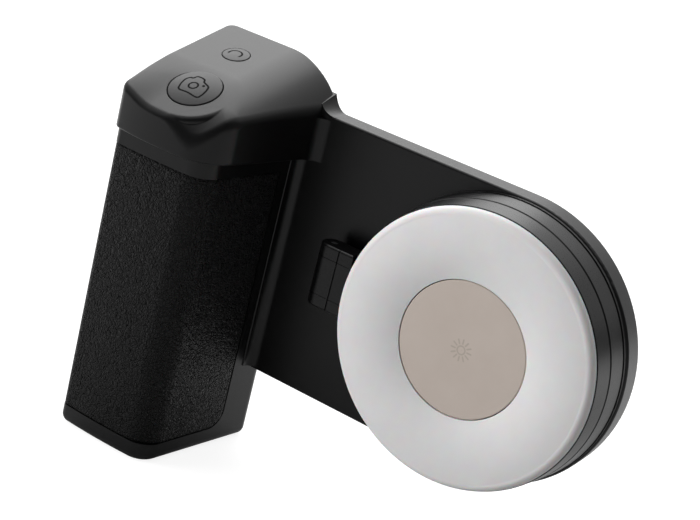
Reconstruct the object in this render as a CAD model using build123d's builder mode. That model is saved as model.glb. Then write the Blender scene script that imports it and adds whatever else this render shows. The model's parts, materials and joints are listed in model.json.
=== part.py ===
# Magnetic phone camera grip with a flip-out selfie light, in millimetres.
# The origin is the centre of the ring magnet on the phone side of the plate. +Y points to the phone, -Y to
# the front, +X to the plate's round end and +Z up along the handle.
# A depth is measured from the phone side to the front.
import os
from math import atan, cos, degrees, radians, sin, tan

from build123d import *

os.makedirs("parts", exist_ok=True)

# How far a cutting shape runs past the piece that it cuts
cut_overrun = 1.0

# Handle
grip_left = -78.8
grip_depth = 32.3
grip_right_at_back = -51.4
grip_right_at_front = -55.4
grip_bottom = -48.0
grip_bow = 0.5
grip_front_left_radius = 1.8
grip_front_right_radius = 5.0
grip_back_radius = 2.0
grip_foot_radius = 2.0
grip_wall = 2.0
grip_floor = 2.0
grip_back_wall = 2.8
back_bar_height = 4.0
passage_half_height = 10.0
passage_length = 6.0

# Leather wrap
leather_thickness = 0.8
leather_bottom = -43.7
leather_top = 16.3
leather_back_edge = 9.5
leather_corner = 4.0

# Top cap
collar_bottom = 19.8
cap_overhang_front = 1.1
cap_bow = 1.5
cap_overhang_right = 1.3
cap_overhang_right_at_back = 3.8
cap_right_corner_radius = 6.0
cap_top_at_back = 39.1
cap_slope = 14.8
cap_shoulder_start = -63.0
cap_shoulder_end = -48.4
cap_shoulder_drop = 9.1
cap_roll_radius = 9.5
cap_roll_start = -66.0
cap_wall = 1.8
cap_foot_right = -46.2
cap_flare_inset = 0.9
cap_flare_rise = 1.65
foot_overlap = 0.2

# Lobe round the shutter button
lobe_centre_x = -66.2
lobe_centre_drop = 4.5
lobe_bend_setback = 11.4
lobe_bend_radius = 12.0
lobe_tilt = 27.0
lobe_inset = 0.1
lobe_height = 7.0
lobe_rim = 0.8

# Buttons
shutter_radius = 5.5
shutter_crown = 0.55
shutter_travel = 0.5
shutter_sleeve_depth = 4.6
shutter_board_width = 14.0
shutter_board_height = 12.0
shutter_switch_size = 4.5
pairing_radius = 2.9
pairing_crown = 0.15
pairing_travel = 0.3
pairing_sleeve_depth = 4.0
pairing_board_size = 9.4
pairing_switch_size = 3.6
pairing_centre_x = -68.5
pairing_centre_y = -10.9
button_wall = 1.3
button_edge = 0.1
button_clearance = 0.12
button_flange = 0.8
button_flange_thickness = 0.7
button_flange_gap = 0.03
button_stem_radius = 1.5
sleeve_wall = 1.0
switch_height = 1.0
plunger_radius = 1.0
plunger_clearance = 0.06
plunger_engagement = 0.15
plunger_gap = 0.1
button_board_thickness = 0.8
button_hole_start = 0.5
shutter_board_corner = 2.0
pairing_board_corner = 1.5
switch_corner = 0.4

# Plate
plate_radius = 30.0
plate_thickness = 4.9
plate_front_wall = 1.3
plate_rim = 1.3
plate_edge = 0.6
strip_size = 2.2
strip_root = 1.0
boss_inset = 0.4
boss_height = 0.7
boss_edge = 0.25
cover_thickness = 1.6
cover_clearance = 0.1
cover_foot_step = 0.5
phone_pad_inset = 1.1
phone_pad_width = 8.1
phone_pad_thickness = 0.5
pad_clearance = 0.05
plate_magnet_count = 16
plate_magnet_rim_gap = 0.9
plate_magnet_width = 4.4
plate_magnet_gap = 0.31
coil_gap = 1.9
coil_inner = 10.0
coil_thickness = 1.0
coil_shield_overlap = 0.5

# Cell, board and socket in the handle
cell_radius = 9.2
cell_clearance = 0.1
cell_x = -66.3
cell_edge = 0.6
cell_terminal_height = 0.8
tray_floor = 0.8
tray_back_wall = 1.2
tray_arm = 5.0
tray_half_width = 10.1
board_thickness = 1.2
board_half_width = 8.4
board_top = 16.0
board_end_gap = 0.3
component_height = 1.0
processor_size = 7.0
memory_size = 5.0
charger_width = 6.0
charger_height = 8.0
connector_width = 4.0
connector_height = 3.0
inductor_size = 4.0
component_gap = 2.0
socket_width = 8.94
socket_height = 3.16
socket_length = 7.3
socket_clearance = 0.1
socket_wall = 0.3
socket_tongue_thickness = 0.7
socket_tongue_gap = 0.9
socket_tongue_root = 1.5
socket_recess = 0.2

# Screws
cover_screw_radius = 1.0
cover_screw_head_radius = 1.9
cover_screw_tip_gap = 2.8
cover_hole_floor = 0.5
cover_boss_radius = 2.3
cover_boss_overlap = 0.2
cover_boss_lift = 0.6
plate_screw_x = -41.0
screw_clearance = 0.05
screw_end_gap = 0.1
cap_screw_radius = 0.8
cap_screw_head_radius = 1.4
cap_screw_length = 3.6
cap_screw_spacing = 6.4
cap_lug_thickness = 2.4
cap_lug_width = 4.6
cap_lug_reach = 5.8
cap_skirt_height = 1.5
cap_skirt_thickness = 0.9

# Light base
base_front_radius = 29.0
base_draft = 0.4
base_thickness = 4.7
drum_edge = 0.2
base_seat_gap = 0.1
base_back_wall = 1.3
base_rim = 1.4
base_cover_thickness = 1.2
base_cover_clearance = 0.05
base_pad_inset = 2.4
base_pad_width = 5.0
base_pad_thickness = 0.5
base_magnet_count = 16
base_magnet_rim_gap = 0.8
base_magnet_width = 4.2
base_magnet_gap = 0.19
base_yoke_thickness = 0.6
base_yoke_clearance = 0.1
base_boss_radius = 2.0
base_boss_gap = 1.1
light_screw_count = 3

# Light head
head_gap = 0.1
head_back_wall = 0.9
head_rim = 1.6
head_depth = 4.7
head_inset = 0.1
head_draft = 0.5
diffuser_flange = 0.4
diffuser_inset = 0.2
diffuser_crown = 1.5
diffuser_crown_inset = 5.7
diffuser_shoulder_inset = 1.6
diffuser_shoulder_drop = 0.35
diffuser_roll_inset = 0.35
diffuser_roll_rise = 0.65
diffuser_skirt = 0.6
diffuser_skirt_clearance = 0.1
diffuser_skirt_lean = 0.5
diffuser_sleeve_clearance = 0.05
diffuser_wall = 1.0
light_button_radius = 13.85
light_button_edge = 0.2
light_button_thickness = 0.9
light_button_clearance = 0.15
light_button_travel = 0.25
led_board_inner_gap = 0.2
led_board_rim_gap = 0.3
led_seat_outer_width = 1.5
led_seat_inner_width = 0.8
led_seat_overlap = 0.2
led_board_thickness = 0.8
led_board_height = 0.9
led_count = 24
led_gap_angle = 36.0
led_ring_share = 0.548
led_width = 2.8
led_length = 3.2
led_height = 0.7
head_screw_ring_share = 0.197
head_screw_radius = 0.7
head_screw_head_radius = 1.3
head_screw_head_height = 0.5
head_boss_radius = 2.0
head_socket_length = 6.5
head_socket_recess = 0.5
head_notch_clearance = 0.2
head_notch_end_gap = 0.9
light_cell_radius = 12.5
light_cell_thickness = 1.5
control_board_radius = 12.6
control_board_thickness = 0.6
light_switch_height = 0.8
light_switch_size = 5.0
light_plunger_gap = 0.05

# Hinge between the light base and the light head
hinge_reach = 7.0
knuckle_radius = 2.6
knuckle_rise = 1.75
knuckle_end_radius = 0.6
hinge_half_height = 6.9
middle_knuckle_half = 4.05
knuckle_gap = 0.1
leaf_gap = 0.6
leaf_overlap = 1.0
head_leaf_drop = 0.4
head_leaf_step = 0.2
pin_radius = 0.75
pin_end_gap = 0.1
pin_clearance = 0.05
pin_press_clearance = 0.01
crease_reach = 3.0
crease_width = 0.3
crease_depth = 0.3

# Depths of the seams of the light, from the phone side to the front
boss_front = plate_thickness + boss_height
base_back = boss_front + base_seat_gap
base_front = base_back + base_thickness
head_back = base_front + head_gap
head_floor = head_back + head_back_wall
head_front = head_back + head_depth
knuckle_front = (base_front + head_back) / 2 + knuckle_rise
hinge_depth = knuckle_front - knuckle_radius
knuckle_back = hinge_depth - knuckle_radius
led_board_back = head_floor + led_board_height
led_board_front = led_board_back + led_board_thickness
light_cell_front = head_floor + light_cell_thickness
control_board_front = light_cell_front + control_board_thickness
light_switch_front = control_board_front + light_switch_height
light_button_back = light_switch_front + light_button_travel + light_plunger_gap
diffuser_front = head_front + diffuser_flange + diffuser_crown

# Derived sizes of the plate and the handle
plate_cavity_radius = plate_radius - plate_rim
plate_floor_depth = plate_thickness - plate_front_wall
boss_radius = plate_radius - boss_inset
phone_pad_outer = plate_cavity_radius - phone_pad_inset
phone_pad_inner = phone_pad_outer - phone_pad_width
plate_magnet_ring_radius = plate_cavity_radius - plate_magnet_rim_gap - plate_magnet_width / 2
plate_magnet_inner = plate_magnet_ring_radius - plate_magnet_width / 2
plate_magnet_length = 2 * plate_magnet_inner * tan(radians(180 / plate_magnet_count)) - plate_magnet_gap
coil_outer = plate_magnet_inner - coil_gap
cell_y = -(grip_depth - grip_wall - cell_clearance - cell_radius)
cell_bottom = grip_bottom + grip_floor + tray_floor
cell_top = collar_bottom
cell_length = cell_top - cell_bottom
tray_front = cell_y + cell_radius - tray_arm
tray_back = cell_y + cell_radius + cell_clearance + tray_back_wall
board_back = tray_back + board_thickness
cover_boss_length = -board_back - cover_thickness
cover_hole_depth = cover_boss_length - cover_hole_floor
cover_screw_length = cover_thickness + cover_hole_depth - cover_screw_tip_gap
slope_gradient = tan(radians(cap_slope))
cap_front = grip_depth + cap_overhang_front
slope_direction = (0, -cos(radians(cap_slope)), -sin(radians(cap_slope)))
slope_length = (cap_front + 6 * cut_overrun) / cos(radians(cap_slope))
cover_high = collar_bottom - plate_rim
cap_shoulder_width = cap_shoulder_end - cap_shoulder_start
cap_shoulder_radius = (cap_shoulder_width**2 + cap_shoulder_drop**2) / (2 * cap_shoulder_drop)
cap_shoulder_angle = 2 * degrees(atan(cap_shoulder_drop / cap_shoulder_width))
cap_right_at_back = grip_right_at_back + cap_overhang_right_at_back
cap_right_at_front = grip_right_at_front + cap_overhang_right

# Derived sizes of the light, which all follow the base's front radius
base_back_radius = base_front_radius + base_draft
base_rim_inner = base_front_radius - base_rim
base_floor = base_back + base_back_wall
base_cover_back = base_front - base_cover_thickness
base_pad_outer = base_back_radius - base_pad_inset
base_pad_inner = base_pad_outer - base_pad_width
base_magnet_ring_radius = base_rim_inner - base_magnet_rim_gap - base_magnet_width / 2
base_magnet_inner = base_magnet_ring_radius - base_magnet_width / 2
base_magnet_length = 2 * base_magnet_inner * tan(radians(180 / base_magnet_count)) - base_magnet_gap
base_screw_ring_radius = base_magnet_inner - base_boss_gap - base_boss_radius
hinge_x = -base_front_radius - hinge_reach
leaf_end = -base_front_radius - leaf_gap
leaf_inside = -base_front_radius + leaf_overlap
head_back_radius = base_front_radius - head_inset
head_front_radius = head_back_radius - head_draft
head_rim_inner = head_back_radius - head_rim
button_sleeve_inner = light_button_radius + light_button_clearance
diffuser_outer = head_front_radius - diffuser_inset
diffuser_crown_radius = diffuser_outer - diffuser_crown_inset
diffuser_inner = button_sleeve_inner + diffuser_sleeve_clearance
led_board_inner = button_sleeve_inner + led_board_inner_gap
led_board_outer = head_rim_inner - led_board_rim_gap
lamp_space_inner = diffuser_inner + diffuser_wall
lamp_space = led_board_outer - lamp_space_inner
led_ring_radius = lamp_space_inner + led_ring_share * lamp_space
head_screw_ring_radius = lamp_space_inner + head_screw_ring_share * lamp_space


def facing_front(depth):
    """Sketch plane across the Y axis at a depth, with X to the right and Z up; it extrudes to the front."""
    return Plane.XZ.offset(depth)


def across(height):
    """Level sketch plane at a height."""
    return Plane.XY.offset(height)


def grip_right(depth):
    """X of the handle's right wall at a depth."""
    return grip_right_at_back + (grip_right_at_front - grip_right_at_back) * depth / grip_depth


# Plane of the lobe. The cap's sloping top bends into it behind the lobe's centre.
lobe_normal = (0, -sin(radians(lobe_tilt)), cos(radians(lobe_tilt)))
lobe_bend_y = -cap_front + lobe_bend_setback
lobe_bend_z = cap_top_at_back + slope_gradient * lobe_bend_y
lobe_centre_y = lobe_bend_y - lobe_centre_drop * cos(radians(lobe_tilt))
lobe_centre_z = lobe_bend_z - lobe_centre_drop * sin(radians(lobe_tilt))
lobe_radius = (cap_front + cap_bow - lobe_inset + lobe_centre_y) / cos(radians(lobe_tilt))
lobe_plane = Plane(origin=(lobe_centre_x, lobe_centre_y, lobe_centre_z), x_dir=(1, 0, 0), z_dir=lobe_normal)

# Plane of the pairing button, on the cap's sloping top
pairing_normal = (0, -sin(radians(cap_slope)), cos(radians(cap_slope)))
pairing_centre_z = cap_top_at_back + slope_gradient * pairing_centre_y
pairing_plane = Plane(
    origin=(pairing_centre_x, pairing_centre_y, pairing_centre_z), x_dir=(1, 0, 0), z_dir=pairing_normal
)


def handle_outline(right_at_back, right_at_front, depth, bow, right_radius, inset=0.0):
    """Outline of the handle seen from above: flat back, bowed front and a right wall that leans outwards."""
    with BuildSketch() as outline:
        with BuildLine():
            Line((grip_left, -depth), (grip_left, 0))
            Line((grip_left, 0), (right_at_back, 0))
            Line((right_at_back, 0), (right_at_front, -depth))
            middle_x = (grip_left + right_at_front) / 2
            ThreePointArc((right_at_front, -depth), (middle_x, -depth - bow), (grip_left, -depth))
        make_face()
        front = outline.vertices().group_by(Axis.Y)[0]
        fillet(front.sort_by(Axis.X)[0], grip_front_left_radius)
        front = outline.vertices().filter_by(lambda v: abs(v.X - right_at_front) < 0.01)
        fillet(front, right_radius)
        fillet(outline.vertices().group_by(Axis.Y)[-1], grip_back_radius)
        if inset:
            offset(amount=-inset)
    return outline.sketch


def grip_outline(inset=0.0):
    return handle_outline(
        grip_right_at_back, grip_right_at_front, grip_depth, grip_bow, grip_front_right_radius, inset
    )


def cap_outline(inset=0.0):
    return handle_outline(
        cap_right_at_back, cap_right_at_front, cap_front, cap_bow, cap_right_corner_radius, inset
    )


def cap_top_profile(inset=0.0):
    """Cap seen from the front at its back face: a flat top, then a shoulder that curves down to the right."""
    top = cap_top_at_back - inset
    radius = cap_shoulder_radius - inset
    turn = radians(cap_shoulder_angle)
    end_x = cap_shoulder_start + radius * sin(turn)
    end_z = top - radius * (1 - cos(turn))
    run = cap_shoulder_radius / 2
    left = grip_left - 2 * cut_overrun
    right = end_x + run * cos(turn)
    low = collar_bottom - 2 * cut_overrun
    with BuildSketch() as profile:
        with BuildLine():
            Line((left, low), (left, top))
            Line((left, top), (cap_shoulder_start, top))
            TangentArc((cap_shoulder_start, top), (end_x, end_z), tangent=(1, 0))
            Line((end_x, end_z), (right, end_z - run * sin(turn)))
            Line((right, end_z - run * sin(turn)), (right, low))
            Line((right, low), (left, low))
        make_face()
    return profile.sketch


def cap_side_profile(inset=0.0):
    """Cap seen from the left: the top slopes down to the front and rolls over into the front wall."""
    front = -cap_front - cap_bow + inset
    centre_y = -cap_front - cap_bow + cap_roll_radius
    centre_z = cap_top_at_back + slope_gradient * centre_y - cap_roll_radius / cos(radians(cap_slope))
    radius = cap_roll_radius - inset
    slope = radians(cap_slope)
    top_of_roll = (centre_y - radius * sin(slope), centre_z + radius * cos(slope))
    back = 2 * cut_overrun
    back_top = top_of_roll[1] + slope_gradient * (back - top_of_roll[0])
    low = collar_bottom - 2 * cut_overrun
    with BuildSketch() as profile:
        with BuildLine():
            Line((back, low), (back, back_top))
            Line((back, back_top), top_of_roll)
            TangentArc(top_of_roll, (front, centre_z), tangent=(-cos(slope), -sin(slope)))
            Line((front, centre_z), (front, low))
            Line((front, low), (back, low))
        make_face()
    return profile.sketch


def handle_cover_outline(clearance=0.0):
    """Outline of the cover's part behind the handle, which runs on into the plate at its right."""
    left = grip_left + plate_rim + clearance
    low = grip_bottom + plate_rim + cover_foot_step + clearance
    high = cover_high - clearance
    right = grip_right_at_back - plate_rim - clearance
    plate_low = -plate_cavity_radius + clearance
    join = grip_right_at_back + cut_overrun
    with BuildSketch() as outline:
        with BuildLine():
            Polyline(
                (left, low),
                (right, low),
                (right, plate_low),
                (join, plate_low),
                (join, high),
                (left, high),
                close=True,
            )
        make_face()
    return outline.sketch


def plate_outline(inset=0.0, left=grip_right_at_front):
    """Outline of the plate seen from the front: a straight band with a round right end."""
    radius = plate_radius - inset
    with BuildSketch() as outline:
        with BuildLine():
            Line((left, radius), (0, radius))
            ThreePointArc((0, radius), (radius, 0), (0, -radius))
            Line((0, -radius), (left, -radius))
            Line((left, -radius), (left, radius))
        make_face()
    return outline.sketch


def foot_corner(right, low):
    """Corner of the plate's outline, above a height, that the cap's foot takes."""
    left = grip_right_at_front - cut_overrun
    high = plate_radius + cut_overrun
    with BuildSketch() as corner:
        with Locations(((left + right) / 2, (low + high) / 2)):
            Rectangle(right - left, high - low)
    return corner.sketch


# Leather wrap, a skin let into the handle on its left, front and right sides
with BuildPart() as leather_wrap:
    with BuildSketch(across(leather_bottom)):
        add(grip_outline())
        add(grip_outline(leather_thickness), mode=Mode.SUBTRACT)
    extrude(amount=leather_top - leather_bottom)
    leather_middle = (leather_top + leather_bottom) / 2
    with BuildSketch(Plane.YZ.offset(grip_left - cut_overrun)):
        with Locations((-leather_back_edge - grip_depth, leather_middle)):
            Rectangle(2 * grip_depth, leather_top - leather_bottom)
        fillet(vertices().group_by(Axis.X)[-1].sort_by(Axis.Y)[0], leather_corner)
    extrude(amount=grip_right_at_back - grip_left + 2 * cut_overrun, mode=Mode.INTERSECT)
leather_wrap.part.label = "leather_wrap"
export_step(leather_wrap.part, "parts/leather_wrap.step")

# Places of the back cover's screws: four in the handle and two in the plate's corners
cover_screw_inset = grip_wall + cover_boss_radius - cover_boss_overlap
cover_screw_left = grip_left + cover_screw_inset
cover_screw_right = grip_right(cover_boss_length + cover_thickness) - cover_screw_inset
cover_screw_low = grip_bottom + grip_floor + cover_boss_radius + cover_boss_lift
cover_screw_high = leather_top - cover_boss_radius
plate_screw_z = plate_cavity_radius - cover_boss_radius + cover_boss_overlap
grip_screw_places = [
    (cover_screw_left, cover_screw_low),
    (cover_screw_left, cover_screw_high),
    (cover_screw_right, cover_screw_low),
    (cover_screw_right, cover_screw_high),
]
plate_screw_places = [(plate_screw_x, -plate_screw_z), (plate_screw_x, plate_screw_z)]

# Places of the cap's screws, in the bar of the shell above its back opening
cap_screw_z = cover_high - back_bar_height / 2
cap_screw_places = [
    (cell_x - cap_screw_spacing / 2, cap_screw_z),
    (cell_x + cap_screw_spacing / 2, cap_screw_z),
]

# Handle shell: walls and floor, open at the top under the cap and at the back under the cover
with BuildPart() as grip_shell:
    with BuildSketch(across(grip_bottom)):
        add(grip_outline())
    extrude(amount=collar_bottom - grip_bottom)
    fillet(grip_shell.faces().sort_by(Axis.Z)[0].edges(), grip_foot_radius)
    add(leather_wrap.part, mode=Mode.SUBTRACT)
    with BuildSketch(across(grip_bottom + grip_floor)):
        add(grip_outline(grip_wall))
        with Locations((cell_x, 0)):
            Rectangle(2 * grip_depth, 2 * grip_back_wall, mode=Mode.SUBTRACT)
    extrude(amount=collar_bottom - grip_bottom, mode=Mode.SUBTRACT)
    with BuildSketch(facing_front(0)):
        add(handle_cover_outline())
    extrude(amount=cover_thickness, mode=Mode.SUBTRACT)
    opening_left = grip_left + grip_wall
    opening_right = grip_right_at_back - grip_wall
    opening_low = grip_bottom + grip_floor
    opening_high = cover_high - back_bar_height
    with BuildSketch(facing_front(cover_thickness)):
        with Locations(((opening_left + opening_right) / 2, (opening_low + opening_high) / 2)):
            Rectangle(opening_right - opening_left, opening_high - opening_low)
    extrude(amount=grip_back_wall, mode=Mode.SUBTRACT)
    with BuildSketch(facing_front(cover_thickness)):
        with Locations(*grip_screw_places):
            Circle(cover_boss_radius)
    extrude(amount=cover_boss_length)
    with BuildSketch(facing_front(cover_thickness)):
        with Locations(*grip_screw_places):
            Circle(cover_screw_radius + screw_clearance)
    extrude(amount=cover_hole_depth, mode=Mode.SUBTRACT)
    for x, z in cap_screw_places:
        with Locations(Location((x, -cover_thickness, z), (90, 0, 0))):
            CounterSinkHole(
                cap_screw_radius + screw_clearance,
                cap_screw_head_radius + screw_clearance,
                depth=2 * (grip_back_wall - cover_thickness),
            )
    with BuildSketch(facing_front(cover_thickness)):
        with Locations((grip_right_at_back - grip_wall / 2, 0)):
            Rectangle(passage_length, 2 * passage_half_height)
    extrude(amount=plate_floor_depth - cover_thickness, mode=Mode.SUBTRACT)
    socket_y = board_back + socket_height / 2
    with BuildSketch(across(grip_bottom)):
        with Locations((cell_x, socket_y)):
            SlotOverall(socket_width + 2 * socket_clearance, socket_height + 2 * socket_clearance)
    extrude(amount=grip_floor, mode=Mode.SUBTRACT)
grip_shell.part.label = "grip_shell"
export_step(grip_shell.part, "parts/grip_shell.step")

# Plate housing: front wall and rim, boss under the light, and the strip against the handle
with BuildPart() as plate_housing:
    with BuildSketch(facing_front(0)):
        add(plate_outline())
    extrude(amount=plate_thickness)
    front_edges = plate_housing.faces().sort_by(Axis.Y)[0].outer_wire().edges()
    fillet(front_edges.filter_by(lambda e: e.center().X > grip_right_at_front + cut_overrun), plate_edge)
    wall_x = grip_right(plate_thickness)
    strip_left = wall_x - strip_root
    strip_right = wall_x + strip_size
    strip_back = -plate_thickness + strip_root / 2
    strip_front = -plate_thickness - strip_size
    with BuildSketch(across(-plate_radius + plate_edge)):
        with BuildLine():
            Line((strip_left, strip_back), (strip_right, strip_back))
            Line((strip_right, strip_back), (strip_right, -plate_thickness))
            TangentArc((strip_right, -plate_thickness), (wall_x, strip_front), tangent=(-1, 0))
            Line((wall_x, strip_front), (strip_left, strip_front))
            Line((strip_left, strip_front), (strip_left, strip_back))
        make_face()
    extrude(amount=collar_bottom + plate_radius - plate_edge)
    with BuildSketch(facing_front(plate_thickness)):
        Circle(boss_radius)
    extrude(amount=boss_height)
    fillet(plate_housing.faces().sort_by(Axis.Y)[0].outer_wire().edges(), boss_edge)
    with BuildSketch(facing_front(0)):
        add(plate_outline(plate_rim, grip_right_at_front - cut_overrun))
    extrude(amount=plate_floor_depth, mode=Mode.SUBTRACT)
    with BuildSketch(facing_front(cover_thickness)):
        with Locations(*plate_screw_places):
            Circle(cover_boss_radius)
    extrude(amount=plate_floor_depth - cover_thickness)
    with BuildSketch(facing_front(cover_thickness)):
        with Locations(*plate_screw_places):
            Circle(cover_screw_radius + screw_clearance)
    extrude(amount=plate_floor_depth - cover_thickness, mode=Mode.SUBTRACT)
    with BuildSketch(across(grip_bottom)):
        add(grip_outline())
    extrude(amount=collar_bottom - grip_bottom, mode=Mode.SUBTRACT)
    with BuildSketch(facing_front(0)):
        add(handle_cover_outline())
    extrude(amount=cover_thickness, mode=Mode.SUBTRACT)
    with BuildSketch(facing_front(-cut_overrun)):
        add(foot_corner(cap_foot_right, collar_bottom))
    extrude(amount=plate_thickness + strip_size + 2 * cut_overrun, mode=Mode.SUBTRACT)
plate_housing.part.label = "plate_housing"
export_step(plate_housing.part, "parts/plate_housing.step")

# Back cover: one flat piece over the handle and the plate, let in to their rims
with BuildPart() as back_cover:
    with BuildSketch(facing_front(0)):
        add(plate_outline(plate_rim + cover_clearance, grip_right_at_back))
        add(handle_cover_outline(cover_clearance))
        add(foot_corner(cap_foot_right + cover_clearance, cover_high - cover_clearance), mode=Mode.SUBTRACT)
    extrude(amount=cover_thickness)
    with BuildSketch(facing_front(0)):
        Circle(phone_pad_outer)
        Circle(phone_pad_inner, mode=Mode.SUBTRACT)
    extrude(amount=phone_pad_thickness, mode=Mode.SUBTRACT)
    for x, z in grip_screw_places + plate_screw_places:
        with Locations(Location((x, 0, z), (90, 0, 0))):
            CounterSinkHole(
                cover_screw_radius + screw_clearance,
                cover_screw_head_radius + screw_clearance,
                depth=2 * cover_thickness,
            )
back_cover.part.label = "back_cover"
export_step(back_cover.part, "parts/back_cover.step")

# Buttons on the cap: the plane of each, its size, its travel and how far its sleeve reaches down
def section_plane(top_plane):
    """Sketch plane through a button's axis, with X to the right and Y along the axis, out of the cap."""
    return Plane(
        origin=top_plane.origin, x_dir=(1, 0, 0), z_dir=Vector(1, 0, 0).cross(top_plane.z_dir)
    )


def button_profile(radius, crown, stem_end):
    """Half section of a button: domed cap, flange under the wall and stem down to its plunger."""
    flange_top = -button_wall - button_flange_gap
    flange_low = flange_top - button_flange_thickness
    with BuildSketch() as profile:
        with BuildLine():
            Polyline(
                (radius, button_edge),
                (radius, flange_top),
                (radius + button_flange, flange_top),
                (radius + button_flange, flange_low),
                (button_stem_radius, flange_low),
                (button_stem_radius, stem_end),
                (0, stem_end),
                (0, button_edge + crown),
            )
            sphere_radius = (radius**2 + crown**2) / (2 * crown)
            half = radius / 2
            half_height = button_edge + crown - sphere_radius + (sphere_radius**2 - half**2) ** 0.5
            ThreePointArc((0, button_edge + crown), (half, half_height), (radius, button_edge))
        make_face()
    return profile.sketch


shutter_sleeve_radius = shutter_radius + button_flange + button_clearance
pairing_sleeve_radius = pairing_radius + button_flange + button_clearance
shutter_stem_end = -shutter_sleeve_depth + switch_height + shutter_travel + plunger_gap
pairing_stem_end = -pairing_sleeve_depth + switch_height + pairing_travel + plunger_gap

# Lobe: a flaring cone under the shutter button's disc, kept inside the cap's outline and under its top
with BuildPart() as lobe:
    with Locations(lobe_plane.location):
        Cone(
            bottom_radius=lobe_radius + lobe_height * tan(radians(lobe_tilt)),
            top_radius=lobe_radius,
            height=lobe_height,
            align=(Align.CENTER, Align.CENTER, Align.MAX),
        )
    lobe_top_edges = lobe.edges().filter_by(GeomType.CIRCLE).sort_by(SortBy.RADIUS)
    fillet(lobe_top_edges[0], lobe_rim)
    with BuildSketch(across(collar_bottom)):
        add(cap_outline())
    extrude(amount=2 * (cap_top_at_back - collar_bottom), mode=Mode.INTERSECT)
    with BuildSketch(facing_front(0)):
        add(cap_top_profile())
    extrude(amount=slope_length, dir=slope_direction, mode=Mode.INTERSECT)

# Hollow of the cap, a wall in from its outside
with BuildPart() as cap_hollow:
    with BuildSketch(across(collar_bottom - cut_overrun)):
        add(cap_outline(cap_wall))
    extrude(amount=cap_top_at_back - collar_bottom + 2 * cut_overrun)
    with BuildSketch(facing_front(0)):
        add(cap_top_profile(cap_wall))
    extrude(amount=slope_length, dir=slope_direction, mode=Mode.INTERSECT)
    with BuildSketch(Plane.YZ.offset(grip_left)):
        add(cap_side_profile(cap_wall))
    extrude(amount=cap_right_at_back - grip_left, mode=Mode.INTERSECT)

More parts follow.
